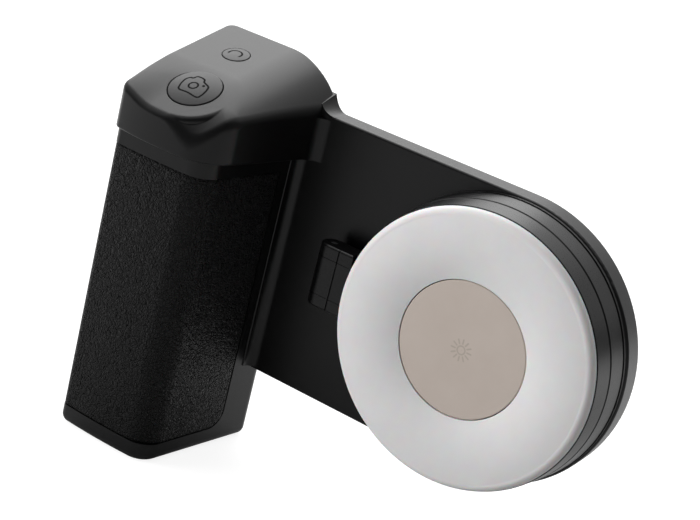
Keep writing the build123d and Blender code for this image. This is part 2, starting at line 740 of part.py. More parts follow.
# Top cap with its lobe, its foot on the plate, its button sleeves and its lugs
with BuildPart() as top_cap:
    with BuildSketch(across(collar_bottom)):
        add(cap_outline())
    extrude(amount=cap_top_at_back - collar_bottom + 2 * cut_overrun)
    with BuildSketch(facing_front(0)):
        add(cap_top_profile())
    extrude(amount=slope_length, dir=slope_direction, mode=Mode.INTERSECT)
    with BuildSketch(Plane.YZ.offset(cap_roll_start)):
        with Locations((-cap_front / 2, (cap_top_at_back + collar_bottom) / 2)):
            Rectangle(2 * cap_front, 2 * cap_top_at_back)
        add(cap_side_profile(), mode=Mode.SUBTRACT)
    extrude(amount=cap_right_at_back - cap_roll_start + cut_overrun, mode=Mode.SUBTRACT)
    with BuildSketch(lobe_plane):
        Rectangle(4 * cap_front, 4 * cap_front)
    extrude(amount=2 * cap_front, mode=Mode.SUBTRACT)
    bend = top_cap.edges().filter_by(Axis.X)
    bend = bend.filter_by(lambda e: abs(e.center().Y - lobe_bend_y) < cut_overrun)
    fillet(bend.sort_by(Axis.Z)[-1], lobe_bend_radius)
    add(lobe.part)
    foot_flare_end = (cap_shoulder_end - cap_flare_inset, plate_radius + cap_flare_rise)
    with BuildSketch(facing_front(0)):
        foot_inside = cap_shoulder_end - cap_wall
        with BuildLine():
            Line((foot_inside, collar_bottom), (cap_foot_right, collar_bottom))
            Line((cap_foot_right, collar_bottom), (cap_foot_right, plate_radius))
            TangentArc((cap_foot_right, plate_radius), foot_flare_end, tangent=(-1, 0))
            Line(foot_flare_end, (foot_inside, foot_flare_end[1]))
            Line((foot_inside, foot_flare_end[1]), (foot_inside, collar_bottom))
        make_face()
    extrude(amount=plate_thickness)
    foot_wall_x = cap_right_at_back + (cap_right_at_front - cap_right_at_back) * plate_thickness / cap_front
    foot_strip_left = foot_wall_x - foot_overlap
    foot_strip_front = -plate_thickness - (cap_foot_right - foot_wall_x)
    with BuildSketch(across(collar_bottom)):
        with BuildLine():
            Line((foot_inside, -plate_thickness), (cap_foot_right, -plate_thickness))
            TangentArc(
                (cap_foot_right, -plate_thickness), (foot_strip_left, foot_strip_front), tangent=(-1, 0)
            )
            Line((foot_strip_left, foot_strip_front), (foot_inside, foot_strip_front))
            Line((foot_inside, foot_strip_front), (foot_inside, -plate_thickness))
        make_face()
    extrude(amount=plate_radius - collar_bottom)
    add(cap_hollow.part, mode=Mode.SUBTRACT)
    for plane, radius, depth, hole in [
        (lobe_plane, shutter_sleeve_radius, shutter_sleeve_depth, shutter_radius + button_clearance),
        (pairing_plane, pairing_sleeve_radius, pairing_sleeve_depth, pairing_radius + button_clearance),
    ]:
        with BuildSketch(plane.offset(-depth)):
            Circle(radius + sleeve_wall)
        extrude(amount=depth - button_wall)
        with BuildSketch(plane.offset(-depth)):
            Circle(radius)
        extrude(amount=depth - button_wall, mode=Mode.SUBTRACT)
        with BuildSketch(plane.offset(-button_wall - button_hole_start)):
            Circle(hole)
        extrude(amount=button_wall + 2 * cut_overrun, mode=Mode.SUBTRACT)
    with BuildSketch(across(collar_bottom - cap_skirt_height)):
        add(grip_outline(grip_wall + cover_clearance))
        add(grip_outline(grip_wall + cover_clearance + cap_skirt_thickness), mode=Mode.SUBTRACT)
        with Locations((cell_x, 0)):
            Rectangle(2 * grip_depth, 2 * (grip_back_wall + cover_clearance), mode=Mode.SUBTRACT)
        with Locations((cell_x, cell_y)):
            Circle(cell_radius + 2 * cell_clearance, mode=Mode.SUBTRACT)
    extrude(amount=cap_skirt_height)
    with BuildSketch(facing_front(grip_back_wall)):
        for x, z in cap_screw_places:
            with Locations((x, collar_bottom - cap_lug_reach / 2)):
                Rectangle(cap_lug_width, cap_lug_reach)
    extrude(amount=cap_lug_thickness)
    with BuildSketch(facing_front(cap_wall / 2)):
        for x, z in cap_screw_places:
            with Locations((x, collar_bottom + cap_lug_thickness / 2)):
                Rectangle(cap_lug_width, cap_lug_thickness)
    extrude(amount=grip_back_wall - cap_wall / 2 + cap_lug_thickness)
    with BuildSketch(facing_front(grip_back_wall)):
        with Locations(*cap_screw_places):
            Circle(cap_screw_radius)
    extrude(amount=cap_lug_thickness, mode=Mode.SUBTRACT)
top_cap.part.label = "top_cap"
export_step(top_cap.part, "parts/top_cap.step")

# Shutter button, a domed disc that slides along the lobe's axis
with BuildPart() as shutter_button:
    with BuildSketch(section_plane(lobe_plane)):
        add(button_profile(shutter_radius, shutter_crown, shutter_stem_end))
    revolve(axis=Axis(lobe_plane.origin, lobe_plane.z_dir))
shutter_button.part.label = "shutter_button"
export_step(shutter_button.part, "parts/shutter_button.step")

# Pairing button, a small flat disc on the cap's sloping top
with BuildPart() as pairing_button:
    with BuildSketch(section_plane(pairing_plane)):
        add(button_profile(pairing_radius, pairing_crown, pairing_stem_end))
    revolve(axis=Axis(pairing_plane.origin, pairing_plane.z_dir))
pairing_button.part.label = "pairing_button"
export_step(pairing_button.part, "parts/pairing_button.step")

# Plungers under the stems, which reach into the switches
with BuildPart() as shutter_plunger:
    with BuildSketch(lobe_plane.offset(shutter_stem_end)):
        Circle(plunger_radius)
    extrude(amount=-(shutter_travel + plunger_gap + plunger_engagement))
shutter_plunger.part.label = "shutter_plunger"
export_step(shutter_plunger.part, "parts/shutter_plunger.step")

with BuildPart() as pairing_plunger:
    with BuildSketch(pairing_plane.offset(pairing_stem_end)):
        Circle(plunger_radius)
    extrude(amount=-(pairing_travel + plunger_gap + plunger_engagement))
pairing_plunger.part.label = "pairing_plunger"
export_step(pairing_plunger.part, "parts/pairing_plunger.step")

# Switches, each open in the middle for its plunger
with BuildPart() as shutter_switch:
    with BuildSketch(lobe_plane.offset(-shutter_sleeve_depth)):
        RectangleRounded(shutter_switch_size, shutter_switch_size, switch_corner)
        Circle(plunger_radius + plunger_clearance, mode=Mode.SUBTRACT)
    extrude(amount=switch_height)
shutter_switch.part.label = "shutter_switch"
export_step(shutter_switch.part, "parts/shutter_switch.step")

with BuildPart() as pairing_switch:
    with BuildSketch(pairing_plane.offset(-pairing_sleeve_depth)):
        RectangleRounded(pairing_switch_size, pairing_switch_size, switch_corner)
        Circle(plunger_radius + plunger_clearance, mode=Mode.SUBTRACT)
    extrude(amount=switch_height)
pairing_switch.part.label = "pairing_switch"
export_step(pairing_switch.part, "parts/pairing_switch.step")

# Switch boards, against the ends of the sleeves
with BuildPart() as shutter_board:
    with BuildSketch(lobe_plane.offset(-shutter_sleeve_depth)):
        RectangleRounded(shutter_board_width, shutter_board_height, shutter_board_corner)
    extrude(amount=-button_board_thickness)
shutter_board.part.label = "shutter_board"
export_step(shutter_board.part, "parts/shutter_board.step")

with BuildPart() as pairing_board:
    with BuildSketch(pairing_plane.offset(-pairing_sleeve_depth)):
        RectangleRounded(pairing_board_size, pairing_board_size, pairing_board_corner)
    extrude(amount=-button_board_thickness)
pairing_board.part.label = "pairing_board"
export_step(pairing_board.part, "parts/pairing_board.step")

# Screws that hold the cap's lugs to the shell, their heads sunk in the bar behind the cover
with BuildPart() as cap_screws:
    for x, z in cap_screw_places:
        with BuildSketch(facing_front(cover_thickness)):
            with Locations((x, z)):
                Circle(cap_screw_radius)
        extrude(amount=cap_screw_length)
        with Locations(Location((x, -cover_thickness, z), (90, 0, 0))):
            Cone(
                bottom_radius=cap_screw_head_radius,
                top_radius=cap_screw_radius,
                height=cap_screw_head_radius - cap_screw_radius,
                align=(Align.CENTER, Align.CENTER, Align.MIN),
            )
cap_screws.part.label = "cap_screws"
export_step(cap_screws.part, "parts/cap_screws.step")

# Screws of the back cover
with BuildPart() as cover_screws:
    for x, z in grip_screw_places + plate_screw_places:
        length = cover_screw_length
        if (x, z) in plate_screw_places:
            length = plate_floor_depth - screw_end_gap
        with BuildSketch(facing_front(0)):
            with Locations((x, z)):
                Circle(cover_screw_radius)
        extrude(amount=length)
        with Locations(Location((x, 0, z), (90, 0, 0))):
            Cone(
                bottom_radius=cover_screw_head_radius,
                top_radius=cover_screw_radius,
                height=cover_screw_head_radius - cover_screw_radius,
                align=(Align.CENTER, Align.CENTER, Align.MIN),
            )
cover_screws.part.label = "cover_screws"
export_step(cover_screws.part, "parts/cover_screws.step")

# Battery cell of the handle: a can with its raised button
with BuildPart() as battery_cell:
    with BuildSketch(across(cell_bottom)):
        with Locations((cell_x, cell_y)):
            Circle(cell_radius)
    extrude(amount=cell_length - cell_terminal_height)
    fillet(battery_cell.edges().filter_by(GeomType.CIRCLE), cell_edge)
    with BuildSketch(across(cell_top - cell_terminal_height)):
        with Locations((cell_x, cell_y)):
            Circle(cell_radius / 3)
    extrude(amount=cell_terminal_height)
battery_cell.part.label = "battery_cell"
export_step(battery_cell.part, "parts/battery_cell.step")

# Cradle behind and under the cell
with BuildPart() as cell_cradle:
    with BuildSketch(across(grip_bottom + grip_floor)):
        with Locations((cell_x, (tray_back + tray_front) / 2)):
            Rectangle(2 * tray_half_width, tray_back - tray_front)
    extrude(amount=board_top - grip_bottom - grip_floor)
    with BuildSketch(across(cell_bottom)):
        with Locations((cell_x, cell_y)):
            Circle(cell_radius + cell_clearance)
    extrude(amount=cell_length, mode=Mode.SUBTRACT)
    with BuildSketch(across(grip_bottom + grip_floor)):
        with Locations((cell_x, cell_y)):
            Circle(cell_radius)
    extrude(amount=tray_floor)
cell_cradle.part.label = "cell_cradle"
export_step(cell_cradle.part, "parts/cell_cradle.step")

# Main board, clamped between the cradle's back and the cover's screw bosses
board_low = grip_bottom + grip_floor + board_end_gap
with BuildPart() as main_board:
    with BuildSketch(facing_front(-board_back)):
        with Locations((cell_x, (board_top + board_low) / 2)):
            Rectangle(2 * board_half_width, board_top - board_low)
    extrude(amount=board_thickness)
main_board.part.label = "main_board"
export_step(main_board.part, "parts/main_board.step")

# Chips, coil and connector on the main board's back
processor_z = board_low + socket_length + component_gap + processor_size
memory_z = processor_z + processor_size / 2 + 2 * component_gap + memory_size / 2
charger_z = memory_z + memory_size / 2 + 2 * component_gap + charger_height / 2
inductor_z = charger_z + charger_height / 2 + 2 * component_gap + inductor_size / 2
with BuildPart() as board_components:
    with BuildSketch(facing_front(-board_back - component_height)):
        with Locations((cell_x, processor_z)):
            Rectangle(processor_size, processor_size)
        with Locations((cell_x + memory_size / 2, memory_z)):
            Rectangle(memory_size, memory_size)
        with Locations((cell_x - connector_width, memory_z)):
            Rectangle(connector_width, connector_height)
        with Locations((cell_x, charger_z)):
            Rectangle(charger_width, charger_height)
        with Locations((cell_x + component_gap, inductor_z)):
            Rectangle(inductor_size, inductor_size)
    extrude(amount=component_height)
board_components.part.label = "board_components"
export_step(board_components.part, "parts/board_components.step")

# Charging socket in the handle's floor
def socket(plane, length):
    """Body of a charging socket: a rounded shell with a tongue in the middle of its mouth."""
    mouth_width = socket_width - 2 * socket_wall
    mouth_height = socket_height - 2 * socket_wall
    with BuildPart(mode=Mode.PRIVATE) as body:
        with BuildSketch(plane):
            SlotOverall(socket_width, socket_height)
        extrude(amount=length)
        with BuildSketch(plane):
            SlotOverall(mouth_width, mouth_height)
            Rectangle(mouth_width - 2 * socket_tongue_gap, socket_tongue_thickness, mode=Mode.SUBTRACT)
        extrude(amount=length - socket_tongue_root, mode=Mode.SUBTRACT)
    return body.part


with BuildPart() as charge_socket:
    add(socket(Plane(origin=(cell_x, socket_y, grip_bottom + socket_recess)), socket_length))
charge_socket.part.label = "charge_socket"
export_step(charge_socket.part, "parts/charge_socket.step")

# Soft pad on the phone side
with BuildPart() as phone_pad:
    with BuildSketch(facing_front(0)):
        Circle(phone_pad_outer - pad_clearance)
        Circle(phone_pad_inner + pad_clearance, mode=Mode.SUBTRACT)
    extrude(amount=phone_pad_thickness)
phone_pad.part.label = "phone_pad"
export_step(phone_pad.part, "parts/phone_pad.step")

# Ring of magnets that holds the phone
with BuildPart() as plate_magnets:
    with BuildSketch(facing_front(cover_thickness)):
        with PolarLocations(plate_magnet_ring_radius, plate_magnet_count):
            Rectangle(plate_magnet_width, plate_magnet_length)
    extrude(amount=plate_floor_depth - cover_thickness)
plate_magnets.part.label = "plate_magnets"
export_step(plate_magnets.part, "parts/plate_magnets.step")

# Charging coil and the ferrite sheet behind it
with BuildPart() as charging_coil:
    with BuildSketch(facing_front(cover_thickness)):
        Circle(coil_outer)
        Circle(coil_inner, mode=Mode.SUBTRACT)
    extrude(amount=coil_thickness)
charging_coil.part.label = "charging_coil"
export_step(charging_coil.part, "parts/charging_coil.step")

with BuildPart() as coil_shield:
    with BuildSketch(facing_front(cover_thickness + coil_thickness)):
        Circle(coil_outer + coil_shield_overlap)
    extrude(amount=plate_floor_depth - cover_thickness - coil_thickness)
coil_shield.part.label = "coil_shield"
export_step(coil_shield.part, "parts/coil_shield.step")

# Light base: a shallow drum, open to the front under its cover, with the outer knuckles of the hinge
outer_knuckle_length = hinge_half_height - middle_knuckle_half - knuckle_gap


def crease_outline():
    """Groove where the barrel meets the leaf, on the hinge's front."""
    with BuildSketch() as outline:
        with Locations((hinge_x + crease_reach, -knuckle_front)):
            Rectangle(crease_width, 2 * crease_depth)
    return outline.sketch


# Outer knuckles of the hinge: round on the left, flat in front, with leaves that run into the base
with BuildPart() as outer_knuckles:
    for low in (-hinge_half_height, middle_knuckle_half + knuckle_gap):
        with BuildSketch(across(low)):
            with Locations((hinge_x, -hinge_depth)):
                Circle(knuckle_radius)
            with BuildLine():
                Polyline(
                    (hinge_x, -knuckle_back),
                    (leaf_inside, -knuckle_back),
                    (leaf_inside, -base_front),
                    (leaf_end, -base_front),
                    (leaf_end, -knuckle_front),
                    (hinge_x, -knuckle_front),
                    close=True,
                )
            make_face()
        extrude(amount=outer_knuckle_length)
    fillet(outer_knuckles.edges().group_by(Axis.Z)[0], knuckle_end_radius)
    fillet(outer_knuckles.edges().group_by(Axis.Z)[-1], knuckle_end_radius)

with BuildPart() as light_base_shell:
    with BuildSketch(Plane.XY):
        with BuildLine():
            Polyline(
                (0, -base_back),
                (base_back_radius - drum_edge, -base_back),
                (base_back_radius, -base_back - drum_edge),
                (base_front_radius, -base_front + drum_edge),
                (base_front_radius - drum_edge, -base_front),
                (0, -base_front),
                close=True,
            )
        make_face()
    revolve(axis=Axis.Y)
    add(outer_knuckles.part)
    with BuildSketch(across(-hinge_half_height)):
        add(crease_outline())
    extrude(amount=2 * hinge_half_height, mode=Mode.SUBTRACT)
    with BuildSketch(facing_front(base_floor)):
        Circle(base_rim_inner)
    extrude(amount=base_front - base_floor, mode=Mode.SUBTRACT)
    with BuildSketch(facing_front(base_floor)):
        with PolarLocations(base_screw_ring_radius, light_screw_count, start_angle=90):
            Circle(base_boss_radius)
    extrude(amount=base_cover_back - base_floor)
    with BuildSketch(facing_front(base_floor)):
        with PolarLocations(base_screw_ring_radius, light_screw_count, start_angle=90):
            Circle(head_screw_radius + screw_clearance)
    extrude(amount=base_cover_back - base_floor, mode=Mode.SUBTRACT)
    with BuildSketch(facing_front(base_back)):
        Circle(base_pad_outer)
        Circle(base_pad_inner, mode=Mode.SUBTRACT)
    extrude(amount=base_pad_thickness - base_seat_gap, mode=Mode.SUBTRACT)
    with BuildSketch(across(-hinge_half_height)):
        with Locations((hinge_x, -hinge_depth)):
            Circle(pin_radius + pin_press_clearance)
    extrude(amount=2 * hinge_half_height, mode=Mode.SUBTRACT)
light_base_shell.part.label = "light_base_shell"
export_step(light_base_shell.part, "parts/light_base_shell.step")

with BuildPart() as light_base_pad:
    with BuildSketch(facing_front(boss_front)):
        Circle(base_pad_outer - pad_clearance)
        Circle(base_pad_inner + pad_clearance, mode=Mode.SUBTRACT)
    extrude(amount=base_pad_thickness)
light_base_pad.part.label = "light_base_pad"
export_step(light_base_pad.part, "parts/light_base_pad.step")

with BuildPart() as light_base_magnets:
    with BuildSketch(facing_front(base_floor)):
        with PolarLocations(base_magnet_ring_radius, base_magnet_count):
            Rectangle(base_magnet_width, base_magnet_length)
    extrude(amount=base_cover_back - base_yoke_thickness - base_floor)
light_base_magnets.part.label = "light_base_magnets"
export_step(light_base_magnets.part, "parts/light_base_magnets.step")

with BuildPart() as light_base_yoke:
    with BuildSketch(facing_front(base_cover_back - base_yoke_thickness)):
        Circle(base_rim_inner - base_yoke_clearance)
        Circle(base_magnet_inner, mode=Mode.SUBTRACT)
    extrude(amount=base_yoke_thickness)
light_base_yoke.part.label = "light_base_yoke"
export_step(light_base_yoke.part, "parts/light_base_yoke.step")

with BuildPart() as light_base_cover:
    with BuildSketch(facing_front(base_cover_back)):
        Circle(base_rim_inner - base_cover_clearance)
    extrude(amount=base_cover_thickness)
    for place in PolarLocations(base_screw_ring_radius, light_screw_count, start_angle=90).locations:
        x, z = place.position.X, place.position.Y
        with Locations(Location((x, -base_front, z), (-90, 0, 0))):
            CounterSinkHole(
                head_screw_radius + screw_clearance,
                head_screw_head_radius + screw_clearance,
                depth=2 * base_cover_thickness,
            )
light_base_cover.part.label = "light_base_cover"
export_step(light_base_cover.part, "parts/light_base_cover.step")

with BuildPart() as light_base_screws:
    for place in PolarLocations(base_screw_ring_radius, light_screw_count, start_angle=90).locations:
        x, z = place.position.X, place.position.Y
        with Locations(Location((x, -base_front, z), (-90, 0, 0))):
            Cylinder(
                head_screw_radius,
                base_front - base_floor - screw_end_gap,
                align=(Align.CENTER, Align.CENTER, Align.MIN),
            )
            Cone(
                bottom_radius=head_screw_head_radius,
                top_radius=head_screw_radius,
                height=head_screw_head_radius - head_screw_radius,
                align=(Align.CENTER, Align.CENTER, Align.MIN),
            )
light_base_screws.part.label = "light_base_screws"
export_step(light_base_screws.part, "parts/light_base_screws.step")

with BuildPart() as hinge_pin:
    with BuildSketch(across(-hinge_half_height + pin_end_gap)):
        with Locations((hinge_x, -hinge_depth)):
            Circle(pin_radius)
    extrude(amount=2 * (hinge_half_height - pin_end_gap))
hinge_pin.part.label = "hinge_pin"
export_step(hinge_pin.part, "parts/hinge_pin.step")

# Light head: a shallow drum, open to the front under the diffuser, with the middle knuckle of the hinge
socket_depth = head_floor + socket_height / 2
with BuildPart() as light_head_shell:
    with BuildSketch(Plane.XY):
        with BuildLine():
            Polyline(
                (0, -head_back),
                (head_back_radius - drum_edge, -head_back),
                (head_back_radius, -head_back - drum_edge),
                (head_front_radius, -head_front + drum_edge),
                (head_front_radius - drum_edge, -head_front),
                (0, -head_front),
                close=True,
            )
        make_face()
    revolve(axis=Axis.Y)
    head_leaf_inside = -head_back_radius + leaf_overlap
    head_leaf_back = base_front - head_leaf_drop
    head_leaf_step_depth = base_front + head_leaf_step
    with BuildSketch(across(-middle_knuckle_half)):
        with Locations((hinge_x, -hinge_depth)):
            Circle(knuckle_radius)
        with BuildLine():
            Polyline(
                (hinge_x, -head_leaf_back),
                (leaf_end, -head_leaf_back),
                (leaf_end, -head_leaf_step_depth),
                (head_leaf_inside, -head_leaf_step_depth),
                (head_leaf_inside, -knuckle_front),
                (hinge_x, -knuckle_front),
                close=True,
            )
        make_face()
        add(crease_outline(), mode=Mode.SUBTRACT)
    extrude(amount=2 * middle_knuckle_half)
    with BuildSketch(facing_front(head_floor)):
        Circle(head_rim_inner)
    extrude(amount=head_front - head_floor, mode=Mode.SUBTRACT)
    with BuildSketch(facing_front(head_floor)):
        Circle(head_rim_inner + led_seat_overlap)
        Circle(led_board_outer - led_seat_outer_width, mode=Mode.SUBTRACT)
        Circle(led_board_inner + led_seat_inner_width)
        Circle(button_sleeve_inner, mode=Mode.SUBTRACT)
        with PolarLocations(head_screw_ring_radius, light_screw_count, start_angle=90):
            Circle(head_boss_radius)
    extrude(amount=led_board_back - head_floor)
    with BuildSketch(facing_front(head_floor)):
        with PolarLocations(head_screw_ring_radius, light_screw_count, start_angle=90):
            Circle(head_screw_radius + screw_clearance)
    extrude(amount=led_board_back - head_floor, mode=Mode.SUBTRACT)
    with BuildSketch(across(-head_back_radius - cut_overrun)):
        with Locations((0, -socket_depth)):
            SlotOverall(socket_width + 2 * socket_clearance, socket_height + 2 * socket_clearance)
    extrude(amount=head_rim + led_board_rim_gap + 4 * cut_overrun, mode=Mode.SUBTRACT)
    with BuildSketch(across(-middle_knuckle_half - cut_overrun)):
        with Locations((hinge_x, -hinge_depth)):
            Circle(pin_radius + pin_clearance)
    extrude(amount=2 * (middle_knuckle_half + cut_overrun), mode=Mode.SUBTRACT)
light_head_shell.part.label = "light_head_shell"
export_step(light_head_shell.part, "parts/light_head_shell.step")

# Charging socket of the light, in the rim of its head
head_socket_end = -head_back_radius + head_socket_recess + head_socket_length
with BuildPart() as head_socket:
    add(socket(Plane(origin=(0, -socket_depth, -head_back_radius + head_socket_recess)), head_socket_length))
head_socket.part.label = "head_socket"
export_step(head_socket.part, "parts/head_socket.step")

# Board with the ring of lamps, notched for the socket
with BuildPart() as led_board:
    with BuildSketch(facing_front(led_board_back)):
        Circle(led_board_outer)
        Circle(led_board_inner, mode=Mode.SUBTRACT)
        notch_low = -led_board_outer - cut_overrun
        notch_high = head_socket_end + head_notch_end_gap
        with Locations((0, (notch_low + notch_high) / 2)):
            Rectangle(
                socket_width + 2 * head_notch_clearance, notch_high - notch_low, mode=Mode.SUBTRACT
            )
        with PolarLocations(head_screw_ring_radius, light_screw_count, start_angle=90):
            Circle(head_screw_radius + screw_clearance, mode=Mode.SUBTRACT)
    extrude(amount=led_board_thickness)
led_board.part.label = "led_board"
export_step(led_board.part, "parts/led_board.step")

with BuildPart() as lamp_chips:
    with BuildSketch(facing_front(led_board_front)):
        with PolarLocations(
            led_ring_radius,
            led_count,
            start_angle=-90 + led_gap_angle / 2,
            angular_range=360 - led_gap_angle,
            endpoint=True,
        ):
            Rectangle(led_length, led_width)
    extrude(amount=led_height)
lamp_chips.part.label = "lamp_chips"
export_step(lamp_chips.part, "parts/lamp_chips.step")

with BuildPart() as head_screws:
    for place in PolarLocations(head_screw_ring_radius, light_screw_count, start_angle=90).locations:
        x, z = place.position.X, place.position.Y
        with Locations(Location((x, -led_board_front, z), (-90, 0, 0))):
            Cylinder(
                head_screw_radius,
                led_board_front - head_floor - screw_end_gap,
                align=(Align.CENTER, Align.CENTER, Align.MIN),
            )
            Cylinder(
                head_screw_head_radius,
                head_screw_head_height,
                align=(Align.CENTER, Align.CENTER, Align.MAX),
            )
head_screws.part.label = "head_screws"
export_step(head_screws.part, "parts/head_screws.step")

# Flat battery of the light, its control board and the switch under the press button
with BuildPart() as light_cell:
    with BuildSketch(facing_front(head_floor)):
        Circle(light_cell_radius)
    extrude(amount=light_cell_thickness)
light_cell.part.label = "light_cell"
export_step(light_cell.part, "parts/light_cell.step")

with BuildPart() as control_board:
    with BuildSketch(facing_front(light_cell_front)):
        Circle(control_board_radius)
    extrude(amount=control_board_thickness)
control_board.part.label = "control_board"
export_step(control_board.part, "parts/control_board.step")

with BuildPart() as light_switch:
    with BuildSketch(facing_front(control_board_front)):
        RectangleRounded(light_switch_size, light_switch_size, switch_corner)
        Circle(plunger_radius + plunger_clearance, mode=Mode.SUBTRACT)
    extrude(amount=light_switch_height)
light_switch.part.label = "light_switch"
export_step(light_switch.part, "parts/light_switch.step")

# Press button in the middle of the diffuser, and its plunger
with BuildPart() as light_button:
    with BuildSketch(facing_front(light_button_back)):
        Circle(light_button_radius)
    extrude(amount=light_button_thickness)
    fillet(light_button.faces().sort_by(Axis.Y)[0].edges(), light_button_edge)
light_button.part.label = "light_button"
export_step(light_button.part, "parts/light_button.step")

with BuildPart() as light_plunger:
    with BuildSketch(facing_front(light_button_back)):
        Circle(plunger_radius)
    extrude(amount=-(light_button_travel + light_plunger_gap + plunger_engagement))
light_plunger.part.label = "light_plunger"
export_step(light_plunger.part, "parts/light_plunger.step")

# Diffuser: a domed ring with an outer flange, a locating skirt and an inner skirt round the press button
flange_front = head_front + diffuser_flange
shoulder_radius = diffuser_outer - diffuser_shoulder_inset
shoulder_y = -diffuser_front + diffuser_shoulder_drop
skirt_outer = head_rim_inner - diffuser_skirt_clearance
skirt_inner = skirt_outer - diffuser_skirt
skirt_back = -head_front + diffuser_flange
sleeve_outer = diffuser_inner + diffuser_wall
sleeve_front = -flange_front + 0.8 * diffuser_wall
inside_radius = skirt_inner - diffuser_skirt_lean
inside_y = shoulder_y + diffuser_wall
with BuildPart() as diffuser:
    with BuildSketch(Plane.XY):
        with BuildLine():
            Line((diffuser_outer, -head_front), (diffuser_outer, -flange_front))
            ThreePointArc(
                (diffuser_outer, -flange_front),
                (diffuser_outer - diffuser_roll_inset, -flange_front - diffuser_roll_rise),
                (shoulder_radius, shoulder_y),
            )
            ThreePointArc(
                (shoulder_radius, shoulder_y),
                (diffuser_crown_radius, -diffuser_front),
                (diffuser_inner, -flange_front),
            )
            Line((diffuser_inner, -flange_front), (diffuser_inner, -led_board_front))
            Line((diffuser_inner, -led_board_front), (sleeve_outer, -led_board_front))
            Line((sleeve_outer, -led_board_front), (sleeve_outer, sleeve_front))
            ThreePointArc(
                (sleeve_outer, sleeve_front),
                (diffuser_crown_radius, -diffuser_front + diffuser_wall),
                (inside_radius, inside_y),
            )
            Line((inside_radius, inside_y), (skirt_inner, -head_front))
            Line((skirt_inner, -head_front), (skirt_inner, skirt_back))
            Line((skirt_inner, skirt_back), (skirt_outer, skirt_back))
            Line((skirt_outer, skirt_back), (skirt_outer, -head_front))
            Line((skirt_outer, -head_front), (diffuser_outer, -head_front))
        make_face()
    revolve(axis=Axis.Y)
diffuser.part.label = "diffuser"
export_step(diffuser.part, "parts/diffuser.step")
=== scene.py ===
"""Studio render of a phone camera grip with a magnetic, hinged selfie light.

Lengths named here are in millimetres and are turned into metres where a mesh or an object is made.
"""
import json
import math

import bmesh
import bpy
import numpy as np
from mathutils import Matrix, Vector


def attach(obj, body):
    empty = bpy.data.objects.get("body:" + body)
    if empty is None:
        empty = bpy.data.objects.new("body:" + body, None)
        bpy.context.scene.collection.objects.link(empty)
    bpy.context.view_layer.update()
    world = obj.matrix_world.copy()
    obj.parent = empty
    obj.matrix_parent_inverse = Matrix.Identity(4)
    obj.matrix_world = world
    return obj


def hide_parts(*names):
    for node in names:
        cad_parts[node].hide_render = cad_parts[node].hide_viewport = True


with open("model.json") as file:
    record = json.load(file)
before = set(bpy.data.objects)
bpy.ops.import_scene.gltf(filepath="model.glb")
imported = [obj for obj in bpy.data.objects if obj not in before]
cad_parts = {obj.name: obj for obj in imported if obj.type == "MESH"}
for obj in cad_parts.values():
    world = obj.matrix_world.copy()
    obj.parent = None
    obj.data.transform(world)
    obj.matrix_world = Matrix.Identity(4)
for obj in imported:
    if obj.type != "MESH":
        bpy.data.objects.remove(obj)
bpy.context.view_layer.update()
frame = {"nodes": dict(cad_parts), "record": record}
nodes = frame["nodes"]
MM = 0.001

# Main sizes. Those that the solids have too are as in the CAD source.
grip_left = -78.8
grip_depth = 32.3
grip_bow = 0.5
grip_right_at_back = -51.4
grip_right_at_front = -55.4
grip_front_left_radius = 1.8
grip_front_right_radius = 5.0
grip_bottom = -48.0
leather_bottom = -43.7
leather_top = 16.3
leather_back_edge = 9.5
leather_corner = 4.0
leather_gap = 0.08
leather_border_width = 0.6
leather_border_sink = 0.42
leather_skin_depth = 0.3
collar_bottom = 19.8
cap_front = 33.4
cap_right_at_back = -47.6
cap_right_at_front = -54.1
cap_top_at_back = 39.1
cap_slope = math.radians(14.8)
cap_shoulder_start = -62.2
cap_shoulder_radius = 16.26
cap_bow = 1.5
cap_right_corner_radius = 6.0
back_radius = 2.0
cap_roll_radius = 9.0
cap_roll_start = -67.5
cap_roll_end = -57.5
cap_rim_radius = 1.2
cap_bend_radius = 0.7
cap_edge_radius = 0.6
cap_edge_growth = 0.4
cap_low_edge_radius = 0.4
cap_left_corner_drop = 1.2
cap_front_margin = 1.3
lobe_x = -66.2
lobe_tilt = math.radians(27.0)
lobe_bend_setback = 11.4
lobe_drop = 4.5
lobe_inset = 0.1
lobe_flare = 0.1
lobe_rim_radius = 1.1
lobe_least_fillet = 0.02
lobe_fillet = 1.5
shutter_radius = 5.5
shutter_crown = 0.55
shutter_hole_depth = 2.2
pairing_radius = 2.9
pairing_crown = 0.15
pairing_hole_depth = 1.6
pairing_x = -68.5
pairing_y = -10.9
button_edge = 0.1
button_round = 0.22
button_wall = 1.2
pairing_clearance = 0.12
shutter_clearance = 0.2
light_button_radius = 13.85
light_button_front = 15.5
press_crown = 0.04
press_wall = 0.7
foot_right = -46.2
foot_left = -51.0
foot_thickness = 4.9
foot_top = 30.0
flare_lip = 0.6
flare_corner = 1.9
flare_end = -49.4
flare_rise = 3.4
flare_front_share = 0.5
strip_corner = (-48.4, -foot_thickness - 0.1)
strip_end = (-49.2, -foot_thickness - 2.6)
strip_overlap = 0.5
strip_headroom = 1.0
ledge_left = -53.2
ledge_height = 1.3
ledge_overlap = 0.1
ledge_thickness = 1.0
back_inset = 0.02


def smoothstep(low, high, value):
    """0 at low, 1 at high and a smooth rise between them."""
    t = np.clip((value - low) / (high - low), 0.0, 1.0)
    return t * t * (3 - 2 * t)


# Meshes


def mesh_object(name, vertices, faces, smooth=True):
    """New object from vertices in millimetres."""
    mesh = bpy.data.meshes.new(name)
    mesh.from_pydata((np.asarray(vertices, float) * MM).tolist(), [], faces)
    mesh.update()
    if smooth:
        mesh.shade_smooth()
    obj = bpy.data.objects.new(name, mesh)
    bpy.context.scene.collection.objects.link(obj)
    return obj


